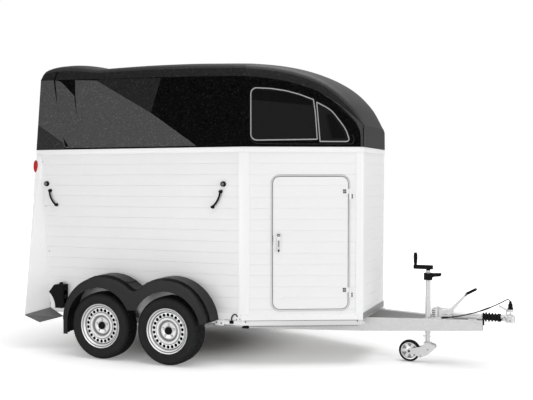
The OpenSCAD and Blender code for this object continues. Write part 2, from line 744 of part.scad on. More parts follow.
// Over-centre catches on the columns that hold the ramp shut. Each is a hook drawn in X and Z.
latch_rise = [0.35, 0.74];

module ramp_latches() {
    color("silver") both_sides() on_back() for (z = latch_rise * (belt_z - foot_z)) translate([-seat_gap, 0, z])
        upright(half_w - 46, half_w - 20) polygon([[0, 0], [-6, 0], [-6, 30], [-22, 46], [-26, 96], [-19, 98],
            [-15, 60], [-6, 46], [-6, 90], [0, 90]]);
}

// Drawbar gear
bracket_back = 458;
bracket_x = beam_tip_x - bracket_back;
housing_x = bracket_x + 93;
tube_x = housing_x + 96;
bellows_x = beam_tip_x + bellows_gap;
ball_x = tip_x - 42;
plate_z = beam_top_z + seat_gap;
housing_half = 42;

bracket_len = 93;
bracket_low = beam_top_z - 26;

module overrun_housing() {
    color("gainsboro") {
        translate([bracket_x + 34, -60, bracket_low]) cube([24, 120, 118]);
        translate([bracket_x, -44, bracket_low]) cube([bracket_len, 88, 104]);
        for (i = [0:5]) translate([bracket_x, -58, bracket_low + 4 + i * 19]) cube([36, 116, 9]);
        upright(-30, 30) polygon([[bracket_x + 57, bracket_low + 100], [bracket_x + 57, bracket_low + 117],
            [housing_x + 18, plate_z + 82], [housing_x + 18, bracket_low + 80]]);
        translate([bracket_x, -112, plate_z]) cube([bracket_len, 224, 8]);
        translate([housing_x, 0, plate_z]) rotate([90, 0, 90]) linear_extrude(tube_x - housing_x)
            polygon(rounded([[-housing_half, 0, 0], [housing_half, 0, 0], [housing_half, 84, 20],
                [-housing_half, 84, 20]], 5));
        translate([beam_tip_x - 130, -48, plate_z]) cube([80, 96, 8]);
        translate([tube_x, 0, draw_z]) rotate([0, 90, 0]) cylinder(r = draw_r, h = bellows_x - tube_x);
    }
}

module bellows() {
    ridges = 5;
    pitch = bellows_len / ridges;
    color([0.1, 0.1, 0.1]) translate([bellows_x, 0, draw_z]) rotate([0, 90, 0]) rotate_extrude()
        polygon(concat([[0, 0], [34, 0]], [for (i = [0:ridges - 1]) each [[30, (i + 0.15) * pitch],
            [40 - i, (i + 0.45) * pitch], [40 - i, (i + 0.55) * pitch], [30, (i + 0.85) * pitch]]],
            [[32, bellows_len], [0, bellows_len]]));
}

module coupling_head() {
    x0 = bellows_x + bellows_len;
    cup_r = tip_x - ball_x;
    color("gainsboro") {
        difference() {
            union() {
                translate([x0, 0, draw_z]) rotate([0, 90, 0]) cylinder(r1 = 27, r2 = 32, h = ball_x - x0);
                translate([ball_x, 0, draw_z - 35]) cylinder(r = cup_r, h = 42);
                translate([ball_x, 0, draw_z + 7]) rotate_extrude() polygon(concat([[0, 0]],
                    [for (i = [0:5]) [cup_r * cos(18 * i), 30 * sin(18 * i)]]));
            }
            translate([ball_x, 0, draw_z - 36]) cylinder(r = socket_r, h = 45);
        }
        // The release handle, bent back over the neck.
        upright(-13, 13) polygon(concat([[ball_x - 46, draw_z + 16], [ball_x - 26, draw_z + 16]],
            arc([ball_x - 46, draw_z + 66], 20, 0, 60, 4), [[ball_x - 98, draw_z + 116], [ball_x - 106, draw_z + 104]],
            arc([ball_x - 46, draw_z + 66], 7, 60, 0, 4)));
        // The post and cup in which the plug parks.
        translate([ball_x, 0, draw_z + 34]) cylinder(r = 7, h = 30);
        translate([ball_x, 0, plug_z - 20]) difference() {
            cylinder(r = 27, h = 22);
            translate([0, 0, 6]) cylinder(r = plug_r + seat_gap, h = 20);
        }
    }
}

// Plug with its lead, which leaves the overrun bracket beside the housing and drops into the plug from above
plug_r = 21;
plug_z = draw_z + 80;
plug_top = 76;
lead_r = 5;
lead_from = [bracket_x + bracket_len + 2 * seat_gap, -62, beam_top_z + lead_r + 1];
lead_len = norm([ball_x - lead_from[0], lead_from[1]]);
lead_end_z = plug_z + plug_top - 10.5;
lead_low_a = 5;
lead_bend_r = 24;

// The lead runs in one upright plane: x along it from its start, z up. The long bend climbs until its end
// meets the short bend over the plug.
module lead_bend(c, r, from, turn) {
    translate([c[0], 0, c[1]]) rotate([90, 0, 0]) rotate([0, 0, from])
        rotate_extrude(angle = turn) translate([r, 0]) circle(r = lead_r, $fn = 24);
}

// The angle at which the long bend hands over to the short one, by repeated halving.
function lead_turn(low, high, n) =
    let(a = (low + high) / 2, u = lead_len - lead_bend_r * (1 + sin(a)),
        w = lead_end_z - lead_from[2] + lead_bend_r * cos(a), chord = atan2(w, u))
    n == 0 ? a : (lead_low_a + a) / 2 < chord ? lead_turn(a, high, n - 1) : lead_turn(low, a, n - 1);

module plug_lead() {
    a = lead_turn(10, 70, 24);
    u = lead_len - lead_bend_r * (1 + sin(a));
    w = lead_end_z - lead_from[2] + lead_bend_r * cos(a);
    r = norm([u, w]) / 2 / sin((a - lead_low_a) / 2);
    color([0.1, 0.1, 0.1]) translate(lead_from) rotate([0, 0, atan2(-lead_from[1], ball_x - lead_from[0])]) {
        lead_bend([-r * sin(lead_low_a), r * cos(lead_low_a)], r, lead_low_a - 90, a - lead_low_a);
        lead_bend([u + lead_bend_r * sin(a), w - lead_bend_r * cos(a)], lead_bend_r, 0, 90 + a);
    }
}

module plug() {
    color([0.1, 0.1, 0.1]) translate([ball_x, 0, plug_z - 13]) rotate_extrude() polygon([[0, 0], [plug_r - 1, 0],
        [plug_r - 1, 16], [plug_r + 5, 18], [plug_r + 5, 26], [plug_r, 28], [plug_r - 2, 62], [plug_r - 9, 70],
        [lead_r + 7, 72], [lead_r + 7, 85], [lead_r + 2.6, 88], [lead_r + 2.6, 78], [0, 78]]);
}

lever_t = 8;
lever_y = housing_half + seat_gap + lever_t;

module handbrake_lever() {
    color("silver") upright(-lever_y, -lever_y + lever_t)
        polygon([[tube_x - 66, plate_z + 42], [tube_x - 26, plate_z + 34], [tube_x + 138, 650], [tube_x + 122, 664]]);
    color([0.1, 0.1, 0.1]) bar([tube_x + 126, -lever_y + lever_t / 2, 654],
        [tube_x + 215, -lever_y + lever_t / 2, 704], 12);
}

clamp_t = 12;
jockey_v = beam_w + clamp_t + jockey_tube_r;
jockey_x = beam_tip_x - jockey_back * cos(beam_angle) - jockey_v * sin(beam_angle);
jockey_y = -beam_tip_y - jockey_back * sin(beam_angle) + jockey_v * cos(beam_angle);
tube_top = 858;
leg_top = 700;

collar_z = 770;
collar_h = 64;

module jockey_tube() {
    color("gainsboro") difference() {
        union() {
            translate([jockey_x, jockey_y, 278]) cylinder(r = jockey_tube_r, h = collar_z + collar_h - 278);
            translate([jockey_x, jockey_y, collar_z]) cylinder(r = jockey_tube_r - 4, h = tube_top - collar_z);
            for (i = [1:2]) translate([jockey_x, jockey_y, tube_top - 10 * i]) cylinder(r = jockey_tube_r, h = 4);
            translate([jockey_x, jockey_y, 0]) rotate([0, 0, beam_angle])
                translate([-50, seat_gap - jockey_tube_r - clamp_t, beam_top_z - 108]) cube([100, clamp_t + 10, 108]);
        }
        translate([jockey_x, jockey_y, 270]) cylinder(r = jockey_leg_r + 0.08, h = leg_top - 270);
    }
}

// The clamp collar at the top of the tube, with its locking lever
module jockey_collar() {
    color([0.1, 0.1, 0.1]) translate([jockey_x, jockey_y, 0]) {
        difference() {
            translate([0, 0, collar_z]) linear_extrude(collar_h) polygon(rounded_box(78, 62, 22, 5));
            translate([0, 0, collar_z - 1]) cylinder(r = jockey_tube_r + seat_gap, h = collar_h + 2);
        }
        upright(-15, 15) polygon(rounded([[30, collar_z + 22, 0], [56, collar_z + 30, 0], [118, collar_z + 38, 12],
            [124, collar_z + 68, 10], [30, collar_z + collar_h, 0]], 4));
    }
}

module jockey_crank() {
    color([0.1, 0.1, 0.1]) translate([jockey_x, jockey_y, 0]) {
        translate([0, 0, tube_top + seat_gap]) cylinder(r = 17, h = 30);
        translate([-46, 0, tube_top + 20]) linear_extrude(27) polygon(rounded_box(182, 30, 13, 5));
        translate([-118, 0, tube_top + 40]) rotate_extrude() polygon([[0, 0], [11, 0], [12, 14], [15, 50],
            [16, 80], [14, 104], [9, 112], [0, 114]]);
    }
}

fork_top = 2 * jockey_r - 15;

module jockey_fork() {
    z = jockey_r;
    color("gainsboro") {
        translate([jockey_x, jockey_y, fork_top]) cylinder(r = jockey_leg_r, h = leg_top - fork_top - 10);
        for (side = [-1, 1]) translate([0, jockey_y + side * (jockey_w / 2 + 8), 0])
            upright(-2.5, 2.5) polygon(concat(arc([jockey_x - jockey_trail, z], 20, 110, 250, 6),
                [[jockey_x - 118, z - 26], [jockey_x - 66, z - 56], [jockey_x + 10, z - 20],
                 [jockey_x + 32, z + 4]], arc([jockey_x + 52, fork_top - 32], 24, -30, 90, 5),
                [[jockey_x - 6, fork_top + 5], [jockey_x - 60, fork_top - 38]]));
        translate([jockey_x - 34, jockey_y - jockey_w / 2 - 10.5, fork_top - 3]) cube([68, jockey_w + 21, 6]);
        translate([jockey_x - jockey_trail, jockey_y - jockey_w / 2 - 14, z]) rotate([-90, 0, 0])
            cylinder(r = 8, h = jockey_w + 28);
    }
}

module jockey_wheel() {
    w = jockey_w / 2;
    r = jockey_r;
    spokes = 6;
    color([0.3, 0.3, 0.3]) translate([jockey_x - jockey_trail, jockey_y, jockey_r]) rotate([90, 0, 0]) difference() {
        rotate_extrude() polygon([[8.06, -w], [20, -w], [20, -8], [r - 26, -8], [r - 20, 3 - w], [r - 8, -w],
            [r, 11 - w], [r, w - 11], [r - 8, w], [r - 20, w - 3], [r - 26, 8], [20, 8], [20, w], [8.06, w]]);
        for (i = [0:spokes - 1]) rotate([0, 0, i * 360 / spokes]) translate([0, 0, -w]) linear_extrude(2 * w)
            polygon(concat(arc([0, 0], r - 32, -21, 21, 6), arc([0, 0], 34, 13, -13, 4)));
    }
}

// Wheel chocks, parked upright on the walls: their hollow side fits a tyre, and a peg holds each at its top.
chock_r = 196;

module wheel_chocks() {
    y = half_w + proud + seat_gap;
    hollow = arc([-2 - chock_r, 0], chock_r, 52, 0, 8);
    color([0.12, 0.12, 0.13]) both_sides() translate([rear_x + 276, 0, wall_z - 40]) {
        difference() {
            upright(y, y + 84) polygon(concat([[84, 0], [92, 8], [92, 232], [-14, 230]], hollow));
            for (z = [46, 130]) translate([-80, y + 18, z]) cube([240, 48, 44]);
        }
        upright(y + 26, y + 58) polygon(rounded([[30, 231, 0], [56, 231, 0], [54, 252, 6], [32, 252, 6]], 4));
    }
}

// A grab handle on the side wall: a bar bowed by an amount sag between two round feet.
module grab_handle(a, b, sag) {
    y = half_w + seat_gap;
    d = b - a;
    c = norm(d);
    r = (c * c / 4 + sag * sag) / (2 * abs(sag));
    n = [d[1], -d[0]] / c * sign(sag);
    o = (a + b) / 2 - n * (r - abs(sag));
    turn = 2 * asin(c / 2 / r);
    from = atan2(n[1], n[0]) - turn / 2;
    for (p = [a, b]) translate([p[0], y, p[1]]) rotate([-90, 0, 0]) cylinder(r1 = 17, r2 = 12, h = 30);
    translate([o[0], y + 22, o[1]]) rotate([90, 0, 0]) rotate([0, 0, from])
        rotate_extrude(angle = turn) translate([r, 0]) circle(r = 9, $fn = 24);
}

knob_under = 290;
handle_under = [358, 500];

module wall_handles() {
    color([0.1, 0.1, 0.1]) both_sides() {
        for (x = [rear_x + 123, bend_x - 200])
            translate([x, half_w + seat_gap, belt_z - knob_under]) rotate([-90, 0, 0]) cylinder(r = 22, h = 22);
        grab_handle([rear_x + 165, belt_z - handle_under[0]], [rear_x + 239, belt_z - handle_under[1]], 18);
        grab_handle([bend_x - 224, belt_z - handle_under[0]], [bend_x - 305, belt_z - handle_under[1]], -18);
    }
}

// Inside: a padded partition between two posts, and a bar before and behind the horses
bar_back_x = rear_x + 200;
bar_front_x = bend_x - 80;
bar_z = 1050;
bar_r = 20;

module partition() {
    x0 = bar_back_x + 180;
    x1 = bar_front_x - 70;
    color("gray") {
        translate([x0 + 20, -20, wall_z + 150]) cube([x1 - x0, 40, bar_z + 570 - wall_z - 150]);
        for (x = [x0, x1]) translate([x, -20, wall_z]) cube([40, 40, belt_z - wall_z]);
    }
}

module stall_bars() {
    len = body_w - 2 * wall_t - 2 * seat_gap;
    color("gray") for (x = [bar_back_x, bar_front_x]) translate([x, -len / 2, bar_z])
        rotate([-90, 0, 0]) cylinder(r = bar_r, h = len);
}

module door_frame() {
    color("lightgray") mirror([0, 1, 0]) nose_plate(door_s, door_mid_z, seat_gap, frame_proud) difference() {
        polygon(rounded_box(door_w + 2 * door_gap + 24, door_h + 2 * door_gap + 24, door_r + door_gap + 12));
        polygon(rounded_box(door_w + 2 * door_gap, door_h + 2 * door_gap, door_r + door_gap));
    }
}

// The grooves between planks, cut over a length into a face that stands a distance d out from the wall.
module plank_grooves(len, d) {
    for (i = [1:plank_lines]) translate([0, d, belt_z - i * plank_h]) rotate([90, 0, 90]) linear_extrude(len)
        polygon([[-groove_d, 0], [groove_d / 3, -groove_w * 2 / 3], [groove_d / 3, groove_w * 2 / 3]]);
}

module door_leaf() {
    color("white") mirror([0, 1, 0]) difference() {
        nose_plate(door_s, door_mid_z, -wall_t, leaf_proud) polygon(rounded_box(door_w, door_h, door_r));
        on_nose() translate([door_s - door_w, 0, 0]) plank_grooves(2 * door_w, leaf_proud);
    }
}

knuckle_r = 8;
knuckle_h = 44;
hinge_pin_r = 4;
hinge_d = 12;
frame_proud = 3;
leaf_proud = 3;
hinge_zs = [door_z + door_h - 154, door_z + 149];

// One leaf of a door hinge: a knuckle round the hinge line and a flat leaf on one side of it.
module hinge_leaf(side, z, d, bored) {
    on_nose() difference() {
        union() {
            translate([hinge_s, hinge_d, z]) cylinder(r = knuckle_r, h = knuckle_h);
            translate([hinge_s + (side < 0 ? -66 : 0), d, z]) cube([side < 0 ? 66 : 36, 4, knuckle_h]);
            translate([hinge_s + (side < 0 ? -knuckle_r : 0), d, z]) cube([knuckle_r, hinge_d - d, knuckle_h]);
        }
        if (bored) translate([hinge_s, hinge_d, z - 1]) cylinder(r = hinge_pin_r + 0.06, h = knuckle_h + 2);
    }
}

module door_hinges() {
    color("white") mirror([0, 1, 0]) for (z = hinge_zs) {
        hinge_leaf(1, z - knuckle_h - 0.5, frame_proud + seat_gap, false);
        on_nose() translate([hinge_s, hinge_d, z - 2]) cylinder(r = hinge_pin_r, h = knuckle_h + 4);
    }
}

// The door's latch: an oval housing with a paddle in its pocket and a round lock at its top.
module door_latch() {
    s = door_s - door_w / 2 + 50;
    z = door_mid_z - 6;
    difference() {
        nose_plate(s, z, leaf_proud + seat_gap, 19) polygon(rounded_box(34, 150, 16));
        nose_plate(s, z - 14, 9, 30) polygon(rounded_box(22, 96, 10));
    }
    nose_plate(s, z - 4, 8, 15) polygon(rounded_box(16, 72, 7));
    nose_plate(s, z + 58, 18, 23) circle(r = 11);
}

module door_fittings() {
    color([0.2, 0.2, 0.2]) mirror([0, 1, 0]) {
        door_latch();
        for (z = hinge_zs) hinge_leaf(-1, z, leaf_proud + seat_gap, true);
    }
}

hinge_x = rear_x - tail_out + ramp_barrel_r;
hinge_z = 458;
ramp_x = rear_x - 20;

module ramp_panel() {
    w = portal_w - 2 * ramp_gap;
    z0 = hinge_z + ramp_barrel_r + 4;
    cleats = 6;
    color("white") {
        translate([ramp_x, -w / 2, z0]) cube([ramp_t, w, ramp_top_z - z0]);
        for (i = [1:cleats]) translate([ramp_x + ramp_t - 1, -w / 2 + 70, z0 + i * (ramp_top_z - z0) / (cleats + 1)])
            cube([14, w - 140, 22]);
    }
}

ramp_pin_r = 8;
ramp_knuckle = 50;
ramp_hinge_ys = [-620, 0, 620];

// A ramp hinge knuckle with its strap, in the middle of the ramp's hinge line.
module ramp_knuckles() {
    for (y = ramp_hinge_ys) difference() {
        translate([0, y - ramp_knuckle / 2, 0]) {
            translate([hinge_x, 0, hinge_z]) rotate([-90, 0, 0]) cylinder(r = ramp_barrel_r, h = ramp_knuckle);
            translate([hinge_x - ramp_barrel_r, 0, hinge_z]) cube([8, ramp_knuckle, 110]);
            translate([hinge_x - ramp_barrel_r, 0, hinge_z + 30])
                cube([ramp_x - seat_gap - hinge_x + ramp_barrel_r, ramp_knuckle, 80]);
        }
        translate([hinge_x, y - ramp_knuckle, hinge_z]) rotate([-90, 0, 0])
            cylinder(r = ramp_pin_r + 0.06, h = 2 * ramp_knuckle);
    }
}

module ramp_fittings() {
    color("silver") ramp_knuckles();
}

// Fixed ears on the rear sill that hold the ramp's hinge pins.
module ramp_hinges() {
    ear = 12;
    gap = 1;
    color("silver") for (y = ramp_hinge_ys) {
        translate([hinge_x, y - ramp_knuckle / 2 - gap - ear, hinge_z]) rotate([-90, 0, 0])
            cylinder(r = ramp_pin_r, h = ramp_knuckle + 2 * (gap + ear));
        for (side = [-1, 1])
            upright(y + side * (ramp_knuckle / 2 + gap + ear / 2) - ear / 2,
                    y + side * (ramp_knuckle / 2 + gap + ear / 2) + ear / 2)
                polygon(concat(arc([hinge_x, hinge_z], ramp_barrel_r, 60, 240, 10),
                    [[rear_x - 8 - seat_gap, rail_z + 10], [rear_x - 8 - seat_gap, hinge_z + 4]]));
    }
}

chassis_rails();
drawbar();
floor_deck();
sill_rail();
sill_strip();
side_wall_right();
side_wall_left();
nose_wall_right();
nose_wall_left();
front_wall();
wall_posts();
belt_rail();
rear_frame();
corner_cover();
hood();
window_pane_right();
window_pane_left();
window_frames();
rear_tarp();
lamps();
mudguard_right();
mudguard_left();
axle_rear();
axle_front();
overrun_housing();
bellows();
coupling_head();
handbrake_lever();
plug_lead();
plug();
jockey_tube();
jockey_collar();
jockey_crank();
wheel_chocks();
wall_handles();
partition();
stall_bars();
cross_members();
ramp_latches();
door_frame();
door_hinges();
ramp_hinges();
door_leaf();
door_fittings();
ramp_panel();
ramp_fittings();
tyre_rear_right();
rim_rear_right();
tyre_front_right();
rim_front_right();
tyre_rear_left();
rim_rear_left();
tyre_front_left();
rim_front_left();
jockey_fork();
jockey_wheel();
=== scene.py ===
import json
from math import atan, atan2, cos, exp, hypot, pi, radians, sin, tan

import bmesh
import bpy
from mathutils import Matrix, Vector


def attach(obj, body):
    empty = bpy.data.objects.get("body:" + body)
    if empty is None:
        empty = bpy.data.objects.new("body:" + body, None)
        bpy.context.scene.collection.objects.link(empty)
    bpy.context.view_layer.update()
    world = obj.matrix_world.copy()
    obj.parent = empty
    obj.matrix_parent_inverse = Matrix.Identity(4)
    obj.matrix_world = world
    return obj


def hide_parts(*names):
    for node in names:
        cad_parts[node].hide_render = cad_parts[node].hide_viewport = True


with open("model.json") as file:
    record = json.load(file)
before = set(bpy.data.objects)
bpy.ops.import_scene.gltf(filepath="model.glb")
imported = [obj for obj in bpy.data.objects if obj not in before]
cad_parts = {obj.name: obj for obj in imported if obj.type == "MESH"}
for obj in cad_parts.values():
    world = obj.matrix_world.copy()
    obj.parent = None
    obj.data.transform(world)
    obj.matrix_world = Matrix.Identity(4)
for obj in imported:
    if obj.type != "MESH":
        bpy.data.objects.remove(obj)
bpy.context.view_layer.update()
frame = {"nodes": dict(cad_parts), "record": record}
nodes = frame["nodes"]

# Camera: it stands off the right front corner and looks back along the trailer
CAMERA_PLACE = Vector((2.875, -7.434, 1.698))
CAMERA_TURN = 21.86
CAMERA_DIP = 1.468
CAMERA_LENS = 53.6


def add_camera():
    data = bpy.data.cameras.new("camera")
    data.lens = CAMERA_LENS
    data.sensor_width = 36
    camera = bpy.data.objects.new("camera", data)
    camera.location = CAMERA_PLACE
    camera.rotation_euler = (radians(90 - CAMERA_DIP), 0, radians(CAMERA_TURN))
    bpy.context.scene.collection.objects.link(camera)
    bpy.context.scene.camera = camera


add_camera()


# Materials
class Tree:
    """A node tree, with short calls for the nodes it uses."""

    def __init__(self, owner, output):
        owner.use_nodes = True
        self.tree = owner.node_tree
        self.tree.nodes.clear()
        self.out = self.node(output).inputs["Surface"]

    def node(self, kind, inputs=None, **settings):
        made = self.tree.nodes.new("ShaderNode" + kind)
        for name, value in settings.items():
            setattr(made, name, value)
        for name, value in (inputs or {}).items():
            self.feed(made.inputs[name], value)
        return made

    def feed(self, socket, value):
        if isinstance(value, bpy.types.NodeSocket):
            self.tree.links.new(value, socket)
        else:
            socket.default_value = value

    def maths(self, operation, a, b=0.0):
        return self.node("Math", {0: a, 1: b}, operation=operation).outputs[0]

    def seen(self):
        """One for rays that come from the camera, straight or through glass."""
        path = self.node("LightPath")
        return self.maths("MAXIMUM", path.outputs["Is Camera Ray"], path.outputs["Is Transmission Ray"])


class Shader(Tree):
    """One material, whose names of sockets have an underscore for each space."""

    def __init__(self, name, **sockets):
        self.material = bpy.data.materials.new(name)
        super().__init__(self.material, "OutputMaterial")
        self.body = self.node("BsdfPrincipled")
        self.feed(self.out, self.body.outputs[0])
        self.place = self.node("TexCoord").outputs["Object"]
        self.set(**sockets)

    def set(self, **sockets):
        for name, value in sockets.items():
            if name in ("Base_Color", "Emission_Color"):
                value = grey(value)
            self.feed(self.body.inputs[name.replace("_", " ")], value)

    def stretch(self, scale):
        return self.node("Mapping", {"Vector": self.place, "Scale": scale}).outputs[0]

    def noise(self, scale, detail=2.0, rough=0.5, place=None):
        return self.node("TexNoise", {"Vector": place or self.place, "Scale": scale, "Detail": detail,
                                      "Roughness": rough}).outputs["Fac"]

    def cells(self, scale, output="Distance"):
        return self.node("TexVoronoi", {"Vector": self.place, "Scale": scale}).outputs[output]

    def span(self, value, low, high, to_low=0.0, to_high=1.0, smooth=False):
        return self.node("MapRange", {"Value": value, "From Min": low, "From Max": high, "To Min": to_low,
                                      "To Max": to_high},
                         interpolation_type="SMOOTHSTEP" if smooth else "LINEAR").outputs[0]

    def axis(self, letter, place=None):
        return self.node("SeparateXYZ", {0: place or self.place}).outputs[letter]

    def wave(self, letter, pace):
        return self.maths("SINE", self.maths("MULTIPLY", self.axis(letter), pace))

    def mix(self, share, a, b):
        made = self.node("Mix", {"Factor": share}, data_type="RGBA")
        for socket, value in zip([s for s in made.inputs if s.type == "RGBA"], (a, b)):
            self.feed(socket, grey(value))
        return [s for s in made.outputs if s.type == "RGBA"][0]

    def surface(self, pattern, low, high, relief, depth, strength):
        """Mixes two tones by a pattern, lays a relief over the surface and gives the finished material."""
        bump = self.node("Bump", {"Height": relief, "Distance": depth, "Strength": strength})
        self.set(Base_Color=self.mix(pattern, low, high), Normal=bump.outputs[0])
        return self.material


def grey(value):
    """A colour from one number, from three, or a socket as it is."""
    if isinstance(value, (int, float)):
        return (value, value, value, 1)
    if isinstance(value, tuple) and len(value) == 3:
        return (*value, 1)
    return value


def paint(name, tone, rough):
    """Satin paint: a slow drift of tone with a little dust, and fine orange peel."""
    m = Shader(name, Roughness=rough)
    drift = m.maths("ADD", m.noise(1.3, 3), m.maths("MULTIPLY", m.noise(40, 4, 0.6), 0.5))
    return m.surface(m.span(drift, 0.4, 1.0), tone * 0.96, tone, m.noise(260, 2), 0.00015, 0.6)


def galvanised(name, tone, rough=0.45):
    """Zinc: fine spangles of slightly different tone, faint duller patches and a crystalline relief."""
    m = Shader(name, Metallic=0.3)
    spangle = m.maths("MULTIPLY", m.axis("X", m.cells(110, output="Color")), 0.6)
    both = m.maths("ADD", spangle, m.maths("MULTIPLY", m.noise(9, 4, 0.6), 0.4))
    m.set(Roughness=m.span(both, 0.1, 0.9, rough - 0.05, rough + 0.08))
    return m.surface(m.span(both, 0.2, 0.8), tone * 0.95, tone * 1.05, m.cells(110), 0.0004, 0.3)


def brushed(name, tone, rough, metal, along=(60, 60, 60)):
    """Alloy with fine drawing lines, which run along where it is stretched least."""
    m = Shader(name, Metallic=metal)
    line = m.noise(6, 5, 0.6, m.stretch(along))
    m.set(Roughness=m.span(line, 0.2, 0.8, rough - 0.06, rough + 0.1))
    return m.surface(line, tone * 0.9, tone * 1.05, line, 0.0003, 0.25)


def moulded(name, tone, rough=0.5, grain=900, gloss=0.2):
    """Grained plastic, a little greyer where it is scuffed."""
    m = Shader(name, Specular_IOR_Level=gloss)
    wear = m.noise(7, 5, 0.65)
    m.set(Roughness=m.span(wear, 0.3, 0.8, rough - 0.06, rough + 0.1))
    return m.surface(m.span(wear, 0.35, 0.8), tone, tone * 1.5, m.cells(grain), 0.0005, 0.4)


def rubber(name, tone, rough=0.75):
    """Matt rubber, paler with dust."""
    m = Shader(name, Specular_IOR_Level=0.15, Roughness=rough)
    return m.surface(m.span(m.noise(14, 6, 0.7), 0.4, 0.9), tone, tone * 1.7, m.noise(500, 3), 0.0003, 0.5)


def flaked(name, tone, sparkle, rough, gloss=0.1):
    """Lacquer with metal flakes: coarse soft speckle with a few brighter points over a flat tone."""
    m = Shader(name, Specular_IOR_Level=gloss, Roughness=rough)
    speckle = m.span(m.noise(80, 3, 0.75), 0.42, 0.72, 0.0, 0.5)
    point = m.span(m.axis("X", m.cells(95, output="Color")), 0.9, 1.0, 0.0, 0.6)
    m.set(Base_Color=m.mix(m.maths("MINIMUM", m.maths("ADD", speckle, point), 1.0), tone, tone + sparkle))
    return m.material


def tinted(name, tone):
    """Dark glass that lets a hint of the inside through."""
    m = Shader(name, Roughness=0.08, Transmission_Weight=0.03, Specular_IOR_Level=0.1)
    m.set(Base_Color=m.mix(m.noise(2, 1), tone * 0.9, tone * 1.1))
    return m.material


def lens(name, colour):
    """A lamp's field with fine crosswise ridges."""
    m = Shader(name, Roughness=0.2, Specular_IOR_Level=0.25)
    ridge = m.wave("Z", 900)
    return m.surface(m.span(ridge, -1, 1), tuple(c * 0.7 for c in colour), colour, ridge, 0.0006, 0.4)


def cloth(name, tone):
    """Coated cloth with its weave."""
    m = Shader(name, Roughness=0.85)
    weave = m.maths("MULTIPLY", m.wave("Y", 2400), m.wave("Z", 2400))
    return m.surface(m.span(weave, -1, 1), tone * 0.7, tone * 1.3, weave, 0.0004, 0.5)


def planks(name, colour):
    """Ply with its grain along the trailer."""
    m = Shader(name, Roughness=0.6)
    grain = m.noise(9, 6, 0.65, m.stretch((1, 9, 9)))
    return m.surface(grain, tuple(c * 0.6 for c in colour), colour, grain, 0.0006, 0.4)


# Places of the wheels, and the radii at which a rim's painted light changes, in metres: painted highlights on its
# raised rings and painted shade in its hollows
WHEEL_MIDDLE, WHEEL_APART, WHEEL_Z = -1.0035, 0.3575, 0.317
RIM_REACH = 0.21
RIM_PAINTED_LIGHT = ((0.0, 0.5), (0.04, 0.5), (0.046, 0.8), (0.076, 0.7), (0.084, 0.16), (0.096, 0.3), (0.102, 0.85),
             (0.118, 0.85), (0.124, 0.25), (0.131, 0.72), (0.167, 0.72), (0.1715, 0.16), (0.176, 0.3), (0.181, 0.85),
             (0.188, 0.8), (0.1925, 0.12), (0.199, 0.4), (0.203, 0.9))


def pressed_rim(name):
    """Silver paint on a pressed wheel with random grime, and with painted highlights on its raised rings and painted
    shade in its hollows, by the radius from each wheel's middle.
    """
    m = Shader(name, Metallic=0.35, Roughness=0.36)
    along = m.maths("ABSOLUTE", m.maths("SUBTRACT", m.axis("X"), WHEEL_MIDDLE))
    across = m.maths("SUBTRACT", along, WHEEL_APART)
    up = m.maths("SUBTRACT", m.axis("Z"), WHEEL_Z)
    radius = m.maths("SQRT", m.maths("ADD", m.maths("POWER", across, 2.0), m.maths("POWER", up, 2.0)))
    # Painted highlights and painted shade, by the radius from the wheel's middle
    ramp = m.node("ValToRGB", {0: m.span(radius, 0.0, RIM_REACH)})
    band = ramp.color_ramp
    while len(band.elements) < len(RIM_PAINTED_LIGHT):
        band.elements.new(0.5)
    for element, (r, tone) in zip(band.elements, RIM_PAINTED_LIGHT):
        element.position = r / RIM_REACH
        element.color = grey(tone)
    grime = m.span(m.noise(60, 4, 0.7), 0.62, 0.9, 0.0, 0.5)
    return m.surface(grime, ramp.outputs[0], 0.12, m.noise(300, 2), 0.0002, 0.4)


WALL = paint("white_wall", 0.80, 0.42)
TRIM = paint("white_trim", 0.84, 0.35)
ZINC = galvanised("galvanised", 0.6)
ALLOY = brushed("bare_alloy", 0.7, 0.4, 0.3, (2, 140, 140))
BRIGHT = brushed("bright_alloy", 0.72, 0.3, 0.5)
HOOD_ROOF = flaked("hood_roof", 0.016, 0.03, 0.5, 0.3)
HOOD_SHOULDER = flaked("hood_shoulder", 0.008, 0.028, 0.45, 0.1)
HOOD_SIDE = flaked("hood_side", 0.0003, 0.016, 0.4, 0.02)
# Lighter flaked copies of the hood's black, for the painted reflections on its sides
REFLECTION_LIGHT = flaked("painted_reflection_light", 0.05, 0.075, 0.5)
REFLECTION_MID = flaked("painted_reflection_mid", 0.018, 0.045, 0.5)
REFLECTION_DARK = flaked("painted_reflection_dark", 0.006, 0.032, 0.5)
BROW = flaked("hood_brow", 0.04, 0.03, 0.5)
PANE = tinted("pane", 0.009)
BAND = flaked("pane_band", 0.003, 0.003, 0.4, 0.05)
FRAME_GREY = brushed("frame_grey", 0.42, 0.3, 0.4)
SPOKE_GREY = brushed("spoke_grey", 0.28, 0.5, 0.2)
TARP = cloth("tarp", 0.02)
RED = lens("lamp_red", (0.55, 0.003, 0.003))
AMBER = lens("lamp_amber", (0.75, 0.2, 0.01))
CLEAR = lens("lamp_clear", (0.7, 0.7, 0.7))
BLACK = moulded("black_plastic", 0.004, gloss=0.08)
GUARD = moulded("guard_plastic", 0.007, 0.4, 700)
DARK_PANEL = moulded("dark_panel", 0.14, 0.6, 300)
RUBBER = rubber("rubber", 0.006)
TYRE = rubber("tyre", 0.011, 0.62)
RIM = pressed_rim("rim_silver")
SHADE = rubber("shade", 0.004, 0.9)
SEAL = rubber("seal", 0.3, 0.7)
# A darker copy of the alloy: painted shade and a painted dark reflection on the front face's strip
FRONT_STRIP_SHADED = brushed("front_strip_painted_shade", 0.3, 0.45, 0.3, (120, 2, 120))
WOOD = planks("floor_wood", (0.16, 0.10, 0.06))
PAD = moulded("padding", 0.03, 0.5, 500)

